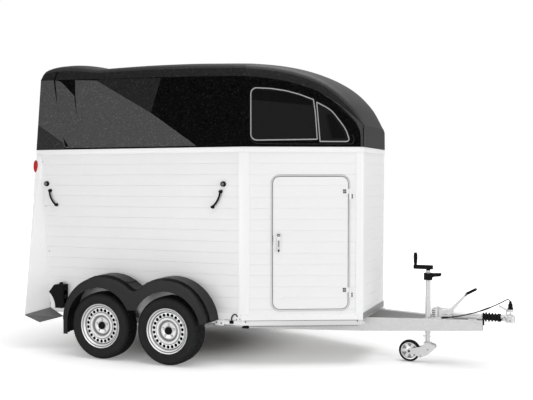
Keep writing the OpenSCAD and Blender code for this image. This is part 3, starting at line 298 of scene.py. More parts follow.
MATERIALS = {
    "white_wall": WALL, "white_trim": TRIM, "galvanised": ZINC, "bare_alloy": ALLOY,
    "hood_black": HOOD_ROOF, "pane": PANE, "frame_grey": FRAME_GREY, "tarp": TARP,
    "lamp_red": RED, "black_plastic": BLACK, "dark_panel": DARK_PANEL, "rubber": RUBBER,
    "tyre": TYRE, "rim_silver": RIM, "floor_wood": WOOD, "padding": PAD,
}
OTHER_LOOK = {"mudguard_right": GUARD, "mudguard_left": GUARD, "door_frame": BRIGHT, "door_fittings": TRIM}
SLOTS = {part["node"]: part["material_slot"] for part in frame["record"]["subparts"]}
BODIES = {name: body for body, names in frame["record"]["behaviour"]["bodies"].items() for name in names}
for node, slot in SLOTS.items():
    looks = nodes[node].data.materials
    looks.clear()
    looks.append(OTHER_LOOK.get(node, MATERIALS[slot]))


def shade(mesh, angle):
    """Shades a mesh smoothly, apart from edges sharper than an angle in degrees."""
    mesh.polygons.foreach_set("use_smooth", [True] * len(mesh.polygons))
    mesh.set_sharp_from_angle(angle=radians(angle))


def stand(name, mesh, body, replaces=()):
    """Puts a mesh into the scene as a piece on one body."""
    made = bpy.data.objects.new(name, mesh)
    bpy.context.scene.collection.objects.link(made)
    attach(made, body)
    if replaces:
        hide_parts(*replaces)
    return made


def cut_out(target, cutters):
    """Cuts pieces out of another and takes them away."""
    for cutter in cutters:
        cut = target.modifiers.new("cut", "BOOLEAN")
        cut.object = cutter
        cut.operation = "DIFFERENCE"
        cut.solver = "EXACT"
    mesh = bpy.data.meshes.new_from_object(target.evaluated_get(bpy.context.evaluated_depsgraph_get()))
    target.modifiers.clear()
    target.data = mesh
    for cutter in cutters:
        bpy.data.objects.remove(cutter)


def refine(width, *names, angle=30):
    """Replaces CAD nodes by copies whose sharp edges are rounded and whose curves are shaded smoothly."""
    for name in names:
        mesh = nodes[name].data.copy()
        mesh.name = name + "_fine"
        work = bmesh.new()
        work.from_mesh(mesh)
        bmesh.ops.remove_doubles(work, verts=work.verts, dist=0.00003)
        bmesh.ops.dissolve_limit(work, angle_limit=radians(0.7), verts=work.verts, edges=work.edges)
        bmesh.ops.recalc_face_normals(work, faces=work.faces)
        if width:
            sharp = [e for e in work.edges
                     if len(e.link_faces) == 2 and e.calc_face_angle() > radians(angle)]
            bmesh.ops.bevel(work, geom=sharp, offset=width * MM, segments=2, profile=0.5, affect="EDGES",
                            clamp_overlap=True)
        work.to_mesh(mesh)
        work.free()
        shade(mesh, 44 if width else angle)
        made = stand(name + "_fine", mesh, BODIES[name], [name])
        made.modifiers.new("weighted", "WEIGHTED_NORMAL").keep_sharp = True


# Sizes of the CAD part, in millimetres, in its own frame
MM = 0.001
BEND, HALF, REAR, NOSE, TIP = 14, 860, -2256, 1000, 2304
SIDE_LEN, NOSE_RUN = 2270, 986
NOSE_A = atan(455 / NOSE_RUN)
COS_A, SIN_A = cos(NOSE_A), sin(NOSE_A)
HOOD_Z = 1996
HOOD_OVER, HOOD_T, SHOULDER_IN, SHOULDER, RAKE = 8, 6, 27, 0.46, 42
LEAN = radians(2.5)
TRACK, TYRE_R = 1012, 317
WHEELS = {"rear": -1361, "front": -646}
SIDES = (-1, 1)
SIDE_WORDS = ((-1, "right"), (1, "left"))


# Places: each turns a position on one face of the trailer, and a distance out from it, into a point
def on_side(side):
    return lambda x, z, d: (x, side * (HALF + d), z)


def on_nose(side):
    return lambda s, z, d: (BEND + s * COS_A + d * SIN_A, side * (HALF - s * SIN_A + d * COS_A), z)


def leaning(w, d):
    """The distance out and the height of a point of the hood's leaning side."""
    return HOOD_OVER + d * cos(LEAN) - w * sin(LEAN), HOOD_Z + d * sin(LEAN) + w * cos(LEAN)


def on_hood(wall):
    """The hood's leaning side over a wall's place: distance along, distance up its face and distance out."""
    def place(x, w, d):
        out, z = leaning(w, d)
        return wall(x, z, out)
    return place


def side_at(x, y, z, side=-1):
    """A place whose third distance runs sideways, out from a point."""
    return lambda u, v, h: (x + u, y + side * h, z + v)


def top_at(x, y, z=0):
    return lambda u, v, h: (x + u, y + v, z + h)


def ahead_at(x, y, z, way=1):
    return lambda u, v, h: (x + way * h, y + u, z + v)


def moved(place, u0, v0):
    return lambda u, v, d: place(u0 + u, v0 + v, d)


def polar(r, a):
    return r * cos(a), r * sin(a)


def offset(outline, inset):
    """The same closed outline drawn in by an amount."""
    if not inset:
        return list(outline)
    n = len(outline)
    corners = [Vector(p) for p in outline]
    area = sum(corners[i - 1].x * corners[i].y - corners[i].x * corners[i - 1].y for i in range(n))
    turn = 1 if area > 0 else -1
    made = []
    for i, corner in enumerate(corners):
        before, after = corner - corners[i - 1], corners[(i + 1) % n] - corner
        a = Vector((-before.y, before.x)).normalized() * turn
        b = Vector((-after.y, after.x)).normalized() * turn
        made.append(tuple(corner + (a + b) / max(0.2, 1 + a.dot(b)) * inset))
    return made


def rounded(rows, steps=8):
    """An outline whose rows hold x, y and the radius of the corner there."""
    made = []
    for i, (x, y, r) in enumerate(rows):
        p = Vector((x, y))
        if not r:
            made.append((x, y))
            continue
        u = (Vector(rows[i - 1][:2]) - p).normalized()
        v = (Vector(rows[(i + 1) % len(rows)][:2]) - p).normalized()
        half = u.angle(v) / 2
        centre = p + (u + v).normalized() * r / sin(half)
        first = p + u * r / tan(half) - centre
        last = p + v * r / tan(half) - centre
        start = atan2(first.y, first.x)
        turn = (atan2(last.y, last.x) - start + 3 * pi) % (2 * pi) - pi
        for k in range(steps + 1):
            a = start + turn * k / steps
            made.append((centre.x + r * cos(a), centre.y + r * sin(a)))
    return made


def rect(x0, y0, x1, y1, r=0, steps=4):
    return rounded([(x0, y0, r), (x1, y0, r), (x1, y1, r), (x0, y1, r)], steps)


def box_outline(w, h, r, steps=6):
    return rect(-w / 2, -h / 2, w / 2, h / 2, r, steps)


def circle(r, steps=24):
    return [polar(r, 2 * pi * i / steps) for i in range(steps)]


class Build:
    """Collects the faces of one piece, in millimetres, each with its material."""

    def __init__(self):
        self.points, self.faces, self.looks, self.materials = [], [], [], []

    def add(self, points, faces, look):
        start = len(self.points)
        if look not in self.materials:
            self.materials.append(look)
        self.points += [tuple(p) for p in points]
        self.faces += [tuple(start + i for i in face) for face in faces]
        self.looks += [self.materials.index(look)] * len(faces)

    def loops(self, loops, look, closed=False):
        """Joins equal closed loops in a row, with a cap at each end or round to the first again."""
        n, m = len(loops[0]), len(loops)
        faces = []
        for i in range(m if closed else m - 1):
            a, b = i * n, (i + 1) % m * n
            faces += [(a + j, a + (j + 1) % n, b + (j + 1) % n, b + j) for j in range(n)]
        if not closed:
            faces += [tuple(range(n - 1, -1, -1)), tuple((m - 1) * n + j for j in range(n))]
        self.add([p for loop in loops for p in loop], faces, look)

    def skins(self, front, back, width, look):
        """Two equal grids of points, in rows of a width, joined round their edges."""
        k = len(front)
        last = k - width
        faces = []
        for a in range(last):
            if (a + 1) % width:
                b = a + width
                faces += [(a, a + 1, b + 1, b), (k + a, k + b, k + b + 1, k + a + 1)]
            if a % width in (0, width - 1):
                faces.append((a, a + width, k + a + width, k + a))
        for j in range(width - 1):
            faces += [(a, k + a, k + a + 1, a + 1) for a in (j, last + j)]
        self.add(front + back, faces, look)

    def plate(self, outline, place, layers, look):
        """A plate of that outline. The layers hold how far it is drawn in at each height."""
        self.loops([[place(u, v, h) for u, v in offset(outline, g)] for g, h in layers], look)

    def border(self, outline, place, section, look):
        """A bar that runs round an outline. Its closed section holds distances in and heights."""
        self.loops([[place(u, v, h) for u, v in offset(outline, g)] for g, h in section], look, closed=True)

    def turned(self, profile, place, look, steps=32, closed=False):
        """A body turned about the place's third axis, from radii and heights."""
        n = len(profile)
        points = [place(*polar(r, 2 * pi * i / steps), h) for i in range(steps) for r, h in profile]
        faces = [(i * n + j, i * n + (j + 1) % n, (i + 1) % steps * n + (j + 1) % n, (i + 1) % steps * n + j)
                 for i in range(steps) for j in range(n if closed else n - 1)]
        self.add(points, faces, look)

    def tube(self, path, radius, look, sides=12):
        """A round bar along a path, of one radius or one for each point."""
        path = [Vector(p) for p in path]
        radii = radius if isinstance(radius, (list, tuple)) else [radius] * len(path)
        up = (path[1] - path[0]).normalized().orthogonal().normalized()
        loops = []
        for i, p in enumerate(path):
            way = (path[min(i + 1, len(path) - 1)] - path[max(i - 1, 0)]).normalized()
            up = (up - way * up.dot(way)).normalized()
            out = way.cross(up)
            loops.append([p + up * u + out * v for u, v in circle(radii[i], sides)])
        self.loops(loops, look)

    def screw(self, place, r, h, look, base=0.0):
        """A domed head that stands on a face."""
        self.turned([(0, base - 0.5), (r, base - 0.5), (r, base + h * 0.3), (r * 0.85, base + h * 0.7),
                     (r * 0.5, base + h * 0.95), (0, base + h)], place, look, 16)

    def hexagon(self, place, r, h, look, base=0.0):
        """A hexagon bolt head with a chamfered top."""
        self.plate(circle(r, 6), place, [(0, base), (0, base + h * 0.8), (r * 0.15, base + h)], look)

    def piece(self, name, body="trailer", slot=None, replaces=(), smooth=32):
        mesh = bpy.data.meshes.new(name)
        mesh.from_pydata([Vector(p) * MM for p in self.points], [], self.faces)
        for material in self.materials:
            mesh.materials.append(material)
        mesh.polygons.foreach_set("material_index", self.looks)
        work = bmesh.new()
        work.from_mesh(mesh)
        bmesh.ops.remove_doubles(work, verts=work.verts, dist=0.000004)
        bmesh.ops.recalc_face_normals(work, faces=work.faces)
        work.to_mesh(mesh)
        work.free()
        shade(mesh, smooth)
        return stand(name, mesh, body, replaces)


# Hood: the same stations as the CAD hood, joined by smooth curves
HOOD_ROWS = (
    [(REAR + x, crease, crown) for x, crease, crown in (
        (42, 704, 794), (70, 702, 842), (130, 700, 870), (210, 697, 884), (320, 694, 887), (420, 691, 880),
        (520, 688, 860), (620, 685, 838), (710, 682, 827), (870, 679, 830))]
    + [(REAR + share * SIDE_LEN, crease, crown) for share, crease, crown in (
        (0.537, 672, 835), (0.714, 662, 830), (0.877, 650, 814), (1, 638, 798))]
    + [(BEND + share * NOSE_RUN, crease, crown) for share, crease, crown in (
        (0.183, 621, 782), (0.345, 594, 754), (0.507, 545, 706), (0.639, 492, 641), (0.751, 409, 566),
        (0.842, 316, 484), (0.913, 244, 399), (0.964, 194, 304))]
    + [(NOSE + HOOD_OVER, 172, 200)])
MAIN_PANE = [(59, 50, 60), (675, 60, 14), (657, 315, 300), (640, 432, 12), (513, 480, 500), (388, 513, 500),
             (250, 533, 500), (59, 541, 60)]
QUARTER_PANE = [(686, 40, 10), (976, 40, 32), (934, 165, 300), (802, 340, 300), (655, 416, 8)]
BROW_EDGE = [(680, 499), (790, 433), (899, 353), (958, 295), (1018, 227), (1056, 150), (1064, 91), (1064, 0),
             (1084, 0), (1084, 185), (1078, 207), (1038, 247), (958, 315), (859, 393), (760, 455)]


def eased(xs, ys, x):
    """A smooth curve through points that never overshoots them."""
    steps = [(y1 - y0) / (x1 - x0) for x0, x1, y0, y1 in zip(xs, xs[1:], ys, ys[1:])]
    inner = [0 if a * b <= 0 else 2 * a * b / (a + b) for a, b in zip(steps, steps[1:])]
    slopes = [steps[0]] + inner + [steps[-1]]
    k = max(i for i in range(len(steps)) if x >= xs[i] or i == 0)
    span = xs[k + 1] - xs[k]
    t = (x - xs[k]) / span
    return (ys[k] * (1 + 2 * t) * (1 - t) ** 2 + slopes[k] * span * t * (1 - t) ** 2
            + ys[k + 1] * t * t * (3 - 2 * t) + slopes[k + 1] * span * t * t * (t - 1))


def hood_heights(x):
    xs, creases, crowns = zip(*HOOD_ROWS)
    return HOOD_Z + eased(xs, creases, x), HOOD_Z + eased(xs, crowns, x)


def hood_half(x, d):
    return HALF + d if x <= BEND else HALF - (x - BEND) * tan(NOSE_A) + d / COS_A


def smooth_through(points, steps):
    """A denser line through points."""
    made = []
    ends = [points[0], *points, points[-1]]
    for i in range(len(points) - 1):
        p0, p1, p2, p3 = (Vector(p) for p in ends[i:i + 4])
        for k in range(steps):
            t = k / steps
            made.append(tuple(0.5 * (2 * p1 + (p2 - p0) * t + (2 * p0 - 5 * p1 + 4 * p2 - p3) * t * t
                                     + (3 * p1 - p0 - 3 * p2 + p3) * t ** 3)))
    return made + [tuple(points[-1])]


def hood_section(x, inset, rake=0.0):
    """Half a section across the hood as y and z, from the rail up to the crown, and its shift along X."""
    crease, crown = hood_heights(x)
    base = hood_half(x, HOOD_OVER) - inset
    edge = hood_half(x, HOOD_OVER - (crease - HOOD_Z) * tan(LEAN)) - inset
    ridge = edge - SHOULDER_IN, crease + (crown - inset - crease) * SHOULDER
    roof = []
    for i in range(9):
        t = radians(90 * i / 8)
        roof.append((ridge[0] * max(0, cos(t)) ** (2 / 2.6),
                     ridge[1] + (crown - inset - ridge[1]) * sin(t) ** (2 / 2.6)))
    roof = smooth_through(roof, 3)
    line = [(base, HOOD_Z), (edge, crease)] + roof
    half = [(x - rake * (1 - (z - HOOD_Z) / (crown - HOOD_Z)), y, z) for y, z in line]
    return [(px, -y, z) for px, y, z in half] + [(px, y, z) for px, y, z in half[-2::-1]]


def hood_stations():
    stops = sorted({row[0] for row in HOOD_ROWS} | {BEND})
    made = []
    for a, b in zip(stops, stops[1:]):
        count = max(2, round((b - a) / 24))
        made += [a + (b - a) * i / count for i in range(count)]
    return made + [stops[-1]]


def build_hood():
    b = Build()
    stations = hood_stations()
    first, second = HOOD_ROWS[0][0], HOOD_ROWS[1][0]
    rows = []
    for inset in (0, HOOD_T):
        for x in stations:
            rake = RAKE * max(0.0, (second - x) / (second - first))
            rows.append(hood_section(x - inset if x == stations[-1] else x, inset, rake))
    m = len(rows[0])
    k = len(stations) * m
    last = k - m
    roof = [tuple(last + j for j in range(m)), tuple(k + last + j for j in range(m - 1, -1, -1)),
            (last, k - 1, k + k - 1, k + last)]
    parts = {HOOD_SIDE: [], HOOD_SHOULDER: [], HOOD_ROOF: roof, DARK_PANEL: []}
    for j in range(m - 1):
        look = {0: HOOD_SIDE, 1: HOOD_SHOULDER}.get(min(j, m - 2 - j), HOOD_ROOF)
        roof.append((j, k + j, k + j + 1, j + 1))
        for a in range(j, last, m):
            parts[look].append((a, a + 1, a + m + 1, a + m))
            parts[DARK_PANEL].append((k + a, k + a + m, k + a + m + 1, k + a + 1))
    for j in (0, m - 1):
        roof += [(a, a + m, k + a + m, k + a) for a in range(j, last, m)]
    for look, faces in parts.items():
        b.add([p for row in rows for p in row], faces, look)
    hood = b.piece("hood_shell", slot="hood_black", replaces=["hood"], smooth=20)
    cutters = []
    for side in SIDES:
        for rows in (MAIN_PANE, QUARTER_PANE):
            cutter = Build()
            cutter.plate(rounded(rows), on_hood(on_nose(side)), [(0, -45), (0, 25)], HOOD_ROOF)
            cutters.append(cutter.piece("window_cutter_%d" % len(cutters)))
    cut_out(hood, cutters)
    hood.data.set_sharp_from_angle(angle=radians(20))


def on_shoulder(side):
    """The hood's shoulder over the crease: x, the share of its rise, and a distance out."""
    def place(x, t, d):
        crease, crown = hood_heights(x)
        edge = hood_half(x, HOOD_OVER - (crease - HOOD_Z) * tan(LEAN))
        return x, side * (edge - SHOULDER_IN * t + d), crease + (crown - crease) * SHOULDER * t
    return place


# Painted reflections on the hood's straight sides, as fields of lighter and darker tone with dark slits through
# them: distance from the rear edge, height over the rail
LIGHT_REFLECTION_FIELD = [(14, 252), (318, 69), (332, 30), (352, 14), (1800, 14), (1312, 334), (697, 670), (447, 684),
               (454, 520), (300, 660), (270, 680), (214, 693), (42, 700)]
MID_REFLECTION_FIELD = [(2, 6), (335, 6), (332, 27), (318, 66), (14, 249)]
DARK_REFLECTION_FIELD = [(697, 673), (1312, 337), (1412, 660), (1060, 672), (760, 679)]
SLITS = [[(194, 696), (212, 696), (228, 570), (243, 436), (262, 330), (236, 470), (210, 600)],
         [(436, 687), (449, 687), (452, 600), (457, 500), (484, 296), (448, 480), (440, 590)],
         [(320, 122), (348, 27), (388, 27)]]
SHOULDER_SLIT = [(194, 0.0), (212, 0.0), (226, 0.95), (212, 0.95)]


def build_painted_reflections():
    b = Build()
    # Painted reflections: three fields of tone and dark slits, laid on each side of the hood
    for side in SIDES:
        place = moved(on_hood(on_side(side)), REAR, 0)
        for outline, look in ((LIGHT_REFLECTION_FIELD, REFLECTION_LIGHT), (MID_REFLECTION_FIELD, REFLECTION_MID), (DARK_REFLECTION_FIELD, REFLECTION_DARK)):
            b.plate(outline, place, [(0, -0.4), (0, 0.5)], look)
        for outline in SLITS:
            b.plate(outline, place, [(0, -0.4), (0, 0.9)], HOOD_SIDE)
        b.plate(SHOULDER_SLIT, moved(on_shoulder(side), REAR, 0), [(0, -0.4), (0, 1.2)], HOOD_SIDE)
    b.piece("hood_painted_reflections", slot="hood_black")


def build_brow():
    b = Build()
    for side in SIDES:
        b.plate(BROW_EDGE, on_hood(on_nose(side)), [(0, -2), (0, 2.4), (1.5, 3.4)], BROW)
    b.piece("hood_brow", slot="hood_black")


RECESS = [(64, 88), (72, 62), (88, 44), (108, 35), (132, 30), (368, 25), (663, 25), (959, 26), (982, 31),
          (998, 42), (1003, 66), (998, 91), (983, 110)]
WINDOW_FRAME = [(2.5, -5), (2.5, 4.5), (4, 6.5), (10, 6.5), (12, 4.5), (12, -5)]
OUTER_SEAL = [(-4, -0.5), (-3.5, 1.8), (2.5, 3.6), (2.5, -5), (0.5, -5.5), (0.5, -0.5)]
INNER_SEAL = [(12, -6), (12, 4), (17, 2), (20, -0.4), (20, -1.2), (16, -6)]
MAIN_BAND = [(84, 424), (613, 375), (624, 374), (616, 410), (466, 490), (84, 516)]
QUARTER_BAND = [(756, 296), (806, 76), (930, 76), (900, 160), (800, 296)]
PANE_BAR = [(742, 298), (752, 302), (800, 76), (790, 74)]


def build_windows():
    trim, film = Build(), Build()
    for side in SIDES:
        place = on_hood(on_nose(side))
        for rows in (MAIN_PANE, QUARTER_PANE):
            for section, look in ((WINDOW_FRAME, FRAME_GREY), (OUTER_SEAL, RUBBER), (INNER_SEAL, RUBBER)):
                trim.border(rounded(rows), place, section, look)
        trim.tube([place(s, w, 0) for s, w in smooth_through(RECESS, 3)], 2.2, HOOD_ROOF, 8)
        for outline, layers, look in ((MAIN_BAND, [(0, -1.3), (0, -0.6)], BAND),
                                      (QUARTER_BAND, [(0, -1.3), (0, -0.5)], BAND),
                                      (PANE_BAR, [(0, -1.3), (1, 1.5)], BLACK)):
            film.plate(outline, place, layers, look)
        for s, w in ((255, 394), (463, 395), (255, 99), (463, 99)):
            film.screw(moved(place, s, w), 7, 4, BLACK, -1)
    trim.piece("window_trim", slot="frame_grey", replaces=["window_frames"])
    film.piece("pane_bands", slot="black_plastic")


build_hood()
build_painted_reflections()
build_brow()
build_windows()


# Side door: its seals, latch and hinge plates, at distances along the slanted wall and heights
DOOR_S, DOOR_Z, DOOR_W, DOOR_H, DOOR_R = 607.9, 1123.5, 682, 1201, 60
LATCH_S, LATCH_Z = 316.9, 1117.5
HINGE_S, HINGE_ZS = 967.9, (1570, 672)
LEAF_SEAL = [(-6.3, -25), (-6.3, -1.5), (-3.4, -2.5), (-3.4, -25)]
FRAME_SEAL = [(-20.5, -0.3), (-20.5, 1.5), (-18.6, 1.5), (-18.6, -0.3)]


def build_door():
    seal, fittings, fixed = Build(), Build(), Build()
    nose = on_nose(-1)
    leaf = box_outline(DOOR_W, DOOR_H, DOOR_R, 8)
    for section in (LEAF_SEAL, FRAME_SEAL):
        seal.border(leaf, moved(nose, DOOR_S, DOOR_Z), section, SEAL)
    seal.piece("door_seal", slot="rubber")
    latch = moved(nose, LATCH_S, LATCH_Z)
    fittings.plate(circle(13), moved(latch, 0, 76), [(0, 3), (0, 21), (2, 23.5)], BLACK)
    fittings.screw(moved(latch, 0, 76), 6, 2, BRIGHT, 23)
    fittings.plate(box_outline(14, 22, 6), moved(latch, 0, -62), [(0, 18), (0, 20.5), (1, 21.5)], BLACK)
    fittings.plate(box_outline(9, 60, 4), latch, [(0, 14), (0, 16.5), (1, 17)], DARK_PANEL)
    fittings.border(box_outline(33, 136, 14), moved(latch, 0, -6), [(-1.5, 2), (-1.5, 4.5), (1.5, 4.5), (1.5, 2)],
                    SPOKE_GREY)
    for hinge_z in HINGE_ZS:
        hinge = moved(nose, HINGE_S, hinge_z)
        for b, w, h, r, x, z in ((fittings, 31, 38, 3, -49.5, 22), (fixed, 13, 40, 2, 20, -23)):
            b.plate(box_outline(w, h, r), moved(hinge, x, z), [(0, 6.5), (0, 7.2), (0.5, 7.6)], SPOKE_GREY)
        for b, x, z in ((fittings, -58, 10), (fittings, -58, 34), (fittings, -42, 10), (fittings, -42, 34),
                        (fixed, 20, -12), (fixed, 20, -34)):
            b.screw(moved(hinge, x, z), 5.5, 2.5, SHADE, 7.3)
    fixed.plate(box_outline(7, 56, 2), moved(nose, 264, 1165), [(0, 3.2), (0, 6), (1, 7)], DARK_PANEL)
    fittings.piece("door_latch_parts", body="side_door", slot="black_plastic")
    fixed.piece("door_frame_screws", slot="black_plastic")


build_door()


# Wheels
GROOVE_HALF, GROOVE_DEEP = 4.5, 7
TREAD_STEPS = 360
# For each kind of band, how many steps lie between its cross slots and at which step the first one is
TREAD_SLOTS = {"edge": (4, 0), "mid": (4, 2), "rib": (12, 5)}
# Radius and distance out
TYRE_SIDE = [(196, 74), (198, 80), (206, 84), (216, 86.5), (222, 88.5), (227, 88.5), (230, 90), (240, 93.6),
             (242, 94.8), (245, 95.2), (247, 94.8), (260, 97.2), (270, 97.4), (280, 96), (283, 95.6), (284.5, 96.4),
             (287, 95.8), (289, 94)]
TYRE_EDGE = [(297, 90.5), (304, 85), (309, 78), (312.5, 70), (314.5, 62), (315.6, 51)]
TYRE_INSIDE = [(196, -64), (206, -54), (296, -50), (296, 50), (206, 54), (196, 64)]


def each_wheel():
    """Each road wheel's name, its middle along the trailer and its side."""
    for axle, x in WHEELS.items():
        for side, word in SIDE_WORDS:
            yield axle + "_" + word, x, side


def tyre_profile():
    """Half of the tyre's outline from its bead to the tread's middle, as radius, distance out and kind of band."""
    line = [(r, y, "") for r, y in TYRE_SIDE] + [(r, y, "edge") for r, y in TYRE_EDGE]
    tread = []
    for y, kind in ((46, "mid"), (18, "rib")):
        r = TYRE_R - 1.4 * (y / 50) ** 2
        tread += [(r, y + GROOVE_HALF, kind), (r - GROOVE_DEEP, y + GROOVE_HALF - 1, "floor"),
                  (r - GROOVE_DEEP, y - GROOVE_HALF + 1, "floor"), (r, y - GROOVE_HALF, kind)]
    return line + tread[1:] + [(TYRE_R, 6, "rib")]


def build_tyres():
    half = tyre_profile()
    line = half + [(r, -y, kind) for r, y, kind in reversed(half)] + [(r, y, "") for r, y in TYRE_INSIDE]
    for name, x, side in each_wheel():
        b = Build()
        loops = []
        for i in range(TREAD_STEPS):
            loop = []
            for r, y, kind in line:
                every, at = TREAD_SLOTS.get(kind, (1, 1))
                deep = 0 if i % every != at else 2.5 if kind == "edge" and r < 300 else 5.5
                u, v = polar(r - deep, 2 * pi * i / TREAD_STEPS)
                loop.append((x + u, side * TRACK + y, TYRE_R + v))
            loops.append(loop)
        b.loops(loops, TYRE, closed=True)
        b.piece("tread_" + name, "wheel_" + name, "tyre", ["tyre_" + name], smooth=28)


def build_rim_parts():
    """The flange's bright edge, the shade behind the holes, the hub cap, the bolts and the valve."""
    for name, x, side in each_wheel():
        b = Build()
        place = side_at(x, side * TRACK, TYRE_R, side)
        b.turned([(199, 83), (203, 87.5), (207, 88.5), (209.5, 86.5), (209, 83)], place, BRIGHT, 96, closed=True)
        b.turned([(128, 44), (170, 44), (170, 47), (128, 47)], place, SHADE, 64, closed=True)
        b.turned([(0, 62.5), (33.6, 62.5), (33.6, 50), (34.2, 50), (34.2, 63.5), (31, 68), (24, 71), (12, 71.5),
                  (10, 70), (0, 70)], place, BLACK, 48)
        for i in range(5):
            spot = moved(place, *polar(56, radians(90 + 72 * i)))
            b.turned([(0, 51), (12.5, 51), (12.5, 52.6), (11, 53.6), (0, 53.6)], spot, SPOKE_GREY, 20)
            b.hexagon(spot, 8.5, 9, BRIGHT, 53)
        valve = moved(place, *polar(186, radians(20)))
        b.turned([(0, 60), (4, 60), (4, 74), (3, 80), (2.5, 90), (0, 90)], valve, RUBBER, 12)
        b.piece("rim_parts_" + name, "wheel_" + name, "rim_silver")


RIM_FACE = [(33.8, 50), (40, 52.5), (74, 52.5), (79, 50), (84, 45), (90, 44), (96, 48), (100, 60), (104, 66),
            (108, 68.5), (115, 68.5), (120, 65), (124, 58), (127, 57), (131, 60.5), (150, 63), (166, 62), (170, 58),
            (174, 56), (177, 60), (180, 70), (183, 74), (188, 75.5), (192, 73), (193.5, 64), (191, 62),
            (184, 68), (178, 56), (174, 52), (168, 55), (150, 59), (131, 56), (126, 52.5), (120, 60), (112, 64.5),
            (106, 63), (101, 55), (96, 43), (88, 40), (80, 44), (74, 48), (33.8, 47)]
HOLES, HOLE_RING, HOLE_R = 22, 148, 15.5


def build_rim_discs():
    """One pressed disc with its ring of holes, set into each of the four rims."""
    blank, drills = Build(), Build()
    blank.turned(RIM_FACE, top_at(0, 0), RIM, 132, closed=True)
    for i in range(HOLES):
        spot = top_at(*polar(HOLE_RING, 2 * pi * (i + 0.5) / HOLES))
        drills.plate(circle(HOLE_R, 20), spot, [(0, 40), (0, 80)], RIM)
    disc = blank.piece("rim_blank")
    cut_out(disc, [drills.piece("rim_drill")])
    points = [v.co / MM for v in disc.data.vertices]
    faces = [tuple(face.vertices) for face in disc.data.polygons]
    bpy.data.objects.remove(disc)
    for name, x, side in each_wheel():
        b = Build()
        b.add([side_at(x, side * TRACK, TYRE_R, side)(*p) for p in points], faces, RIM)
        b.piece("rim_disc_" + name, "wheel_" + name, "rim_silver", smooth=25)


build_tyres()
build_rim_parts()
build_rim_discs()

# Mudguard details: sections as radius from an arch's middle and distance out from the guard's outer face
GUARD_Y, GUARD_Z = 1117.5, 353
GUARD_C = (-1334, -673)
GUARD_LIP = [(427, -89), (427, 8), (424, 10), (376, 10), (376, 5.6), (424.3, 5.6), (424.3, -89)]
GUARD_WELT = [(424.2, -70), (427, -68), (427, -64), (424.2, -62)]
GUARD_EDGE = [(424.4, -8), (428.5, -6), (429.5, 2), (427, 6.5), (422, 7), (421, 5.4), (424.4, 4)]
SADDLE_RIB = [(444.2, -245), (449, -243), (449, -100), (444.2, -98)]


def build_guard_details():
    """The lip over the front end, the welts of the bands, the edge trim, the saddle's ribs and the rivets."""
    rear, front = GUARD_C
    for side, word in SIDE_WORDS:
        b = Build()

        def strip(centre, start, end, steps, section):
            loops = []
            for i in range(steps + 1):
                a = radians(start + (end - start) * i / steps)
                loops.append([(centre + r * cos(a), side * (GUARD_Y + y), GUARD_Z + r * sin(a))
                              for r, y in section])
            b.loops(loops, GUARD)

        strip(front, 8, 19, 8, GUARD_LIP)
        for centre, start, end in ((rear, 96, 172), (rear, 40, 90), (front, 92, 140), (front, 24, 86)):
            strip(centre, start, end, 20, GUARD_WELT)
        for centre, start, end in ((rear, 50, 179), (front, 20, 130)):
            strip(centre, start, end, 40, GUARD_EDGE)
        for centre, angle in ((rear, 59), (front, 121)):
            strip(centre, angle - 1.4, angle + 1.4, 1, SADDLE_RIB)
        for angle in (158, 164, 170):
            c, s = polar(1, radians(angle))
            b.screw(lambda u, v, h: (rear + (418.6 - h) * c - u * s, side * (GUARD_Y - 40 + v),
                                     GUARD_Z + (418.6 - h) * s + u * c), 9, 4, ZINC)
        b.piece("guard_trim_" + word, slot="black_plastic")


build_guard_details()


# Sill and wall fittings
RIVET_Z, SEAM_Z = 467, 416.5


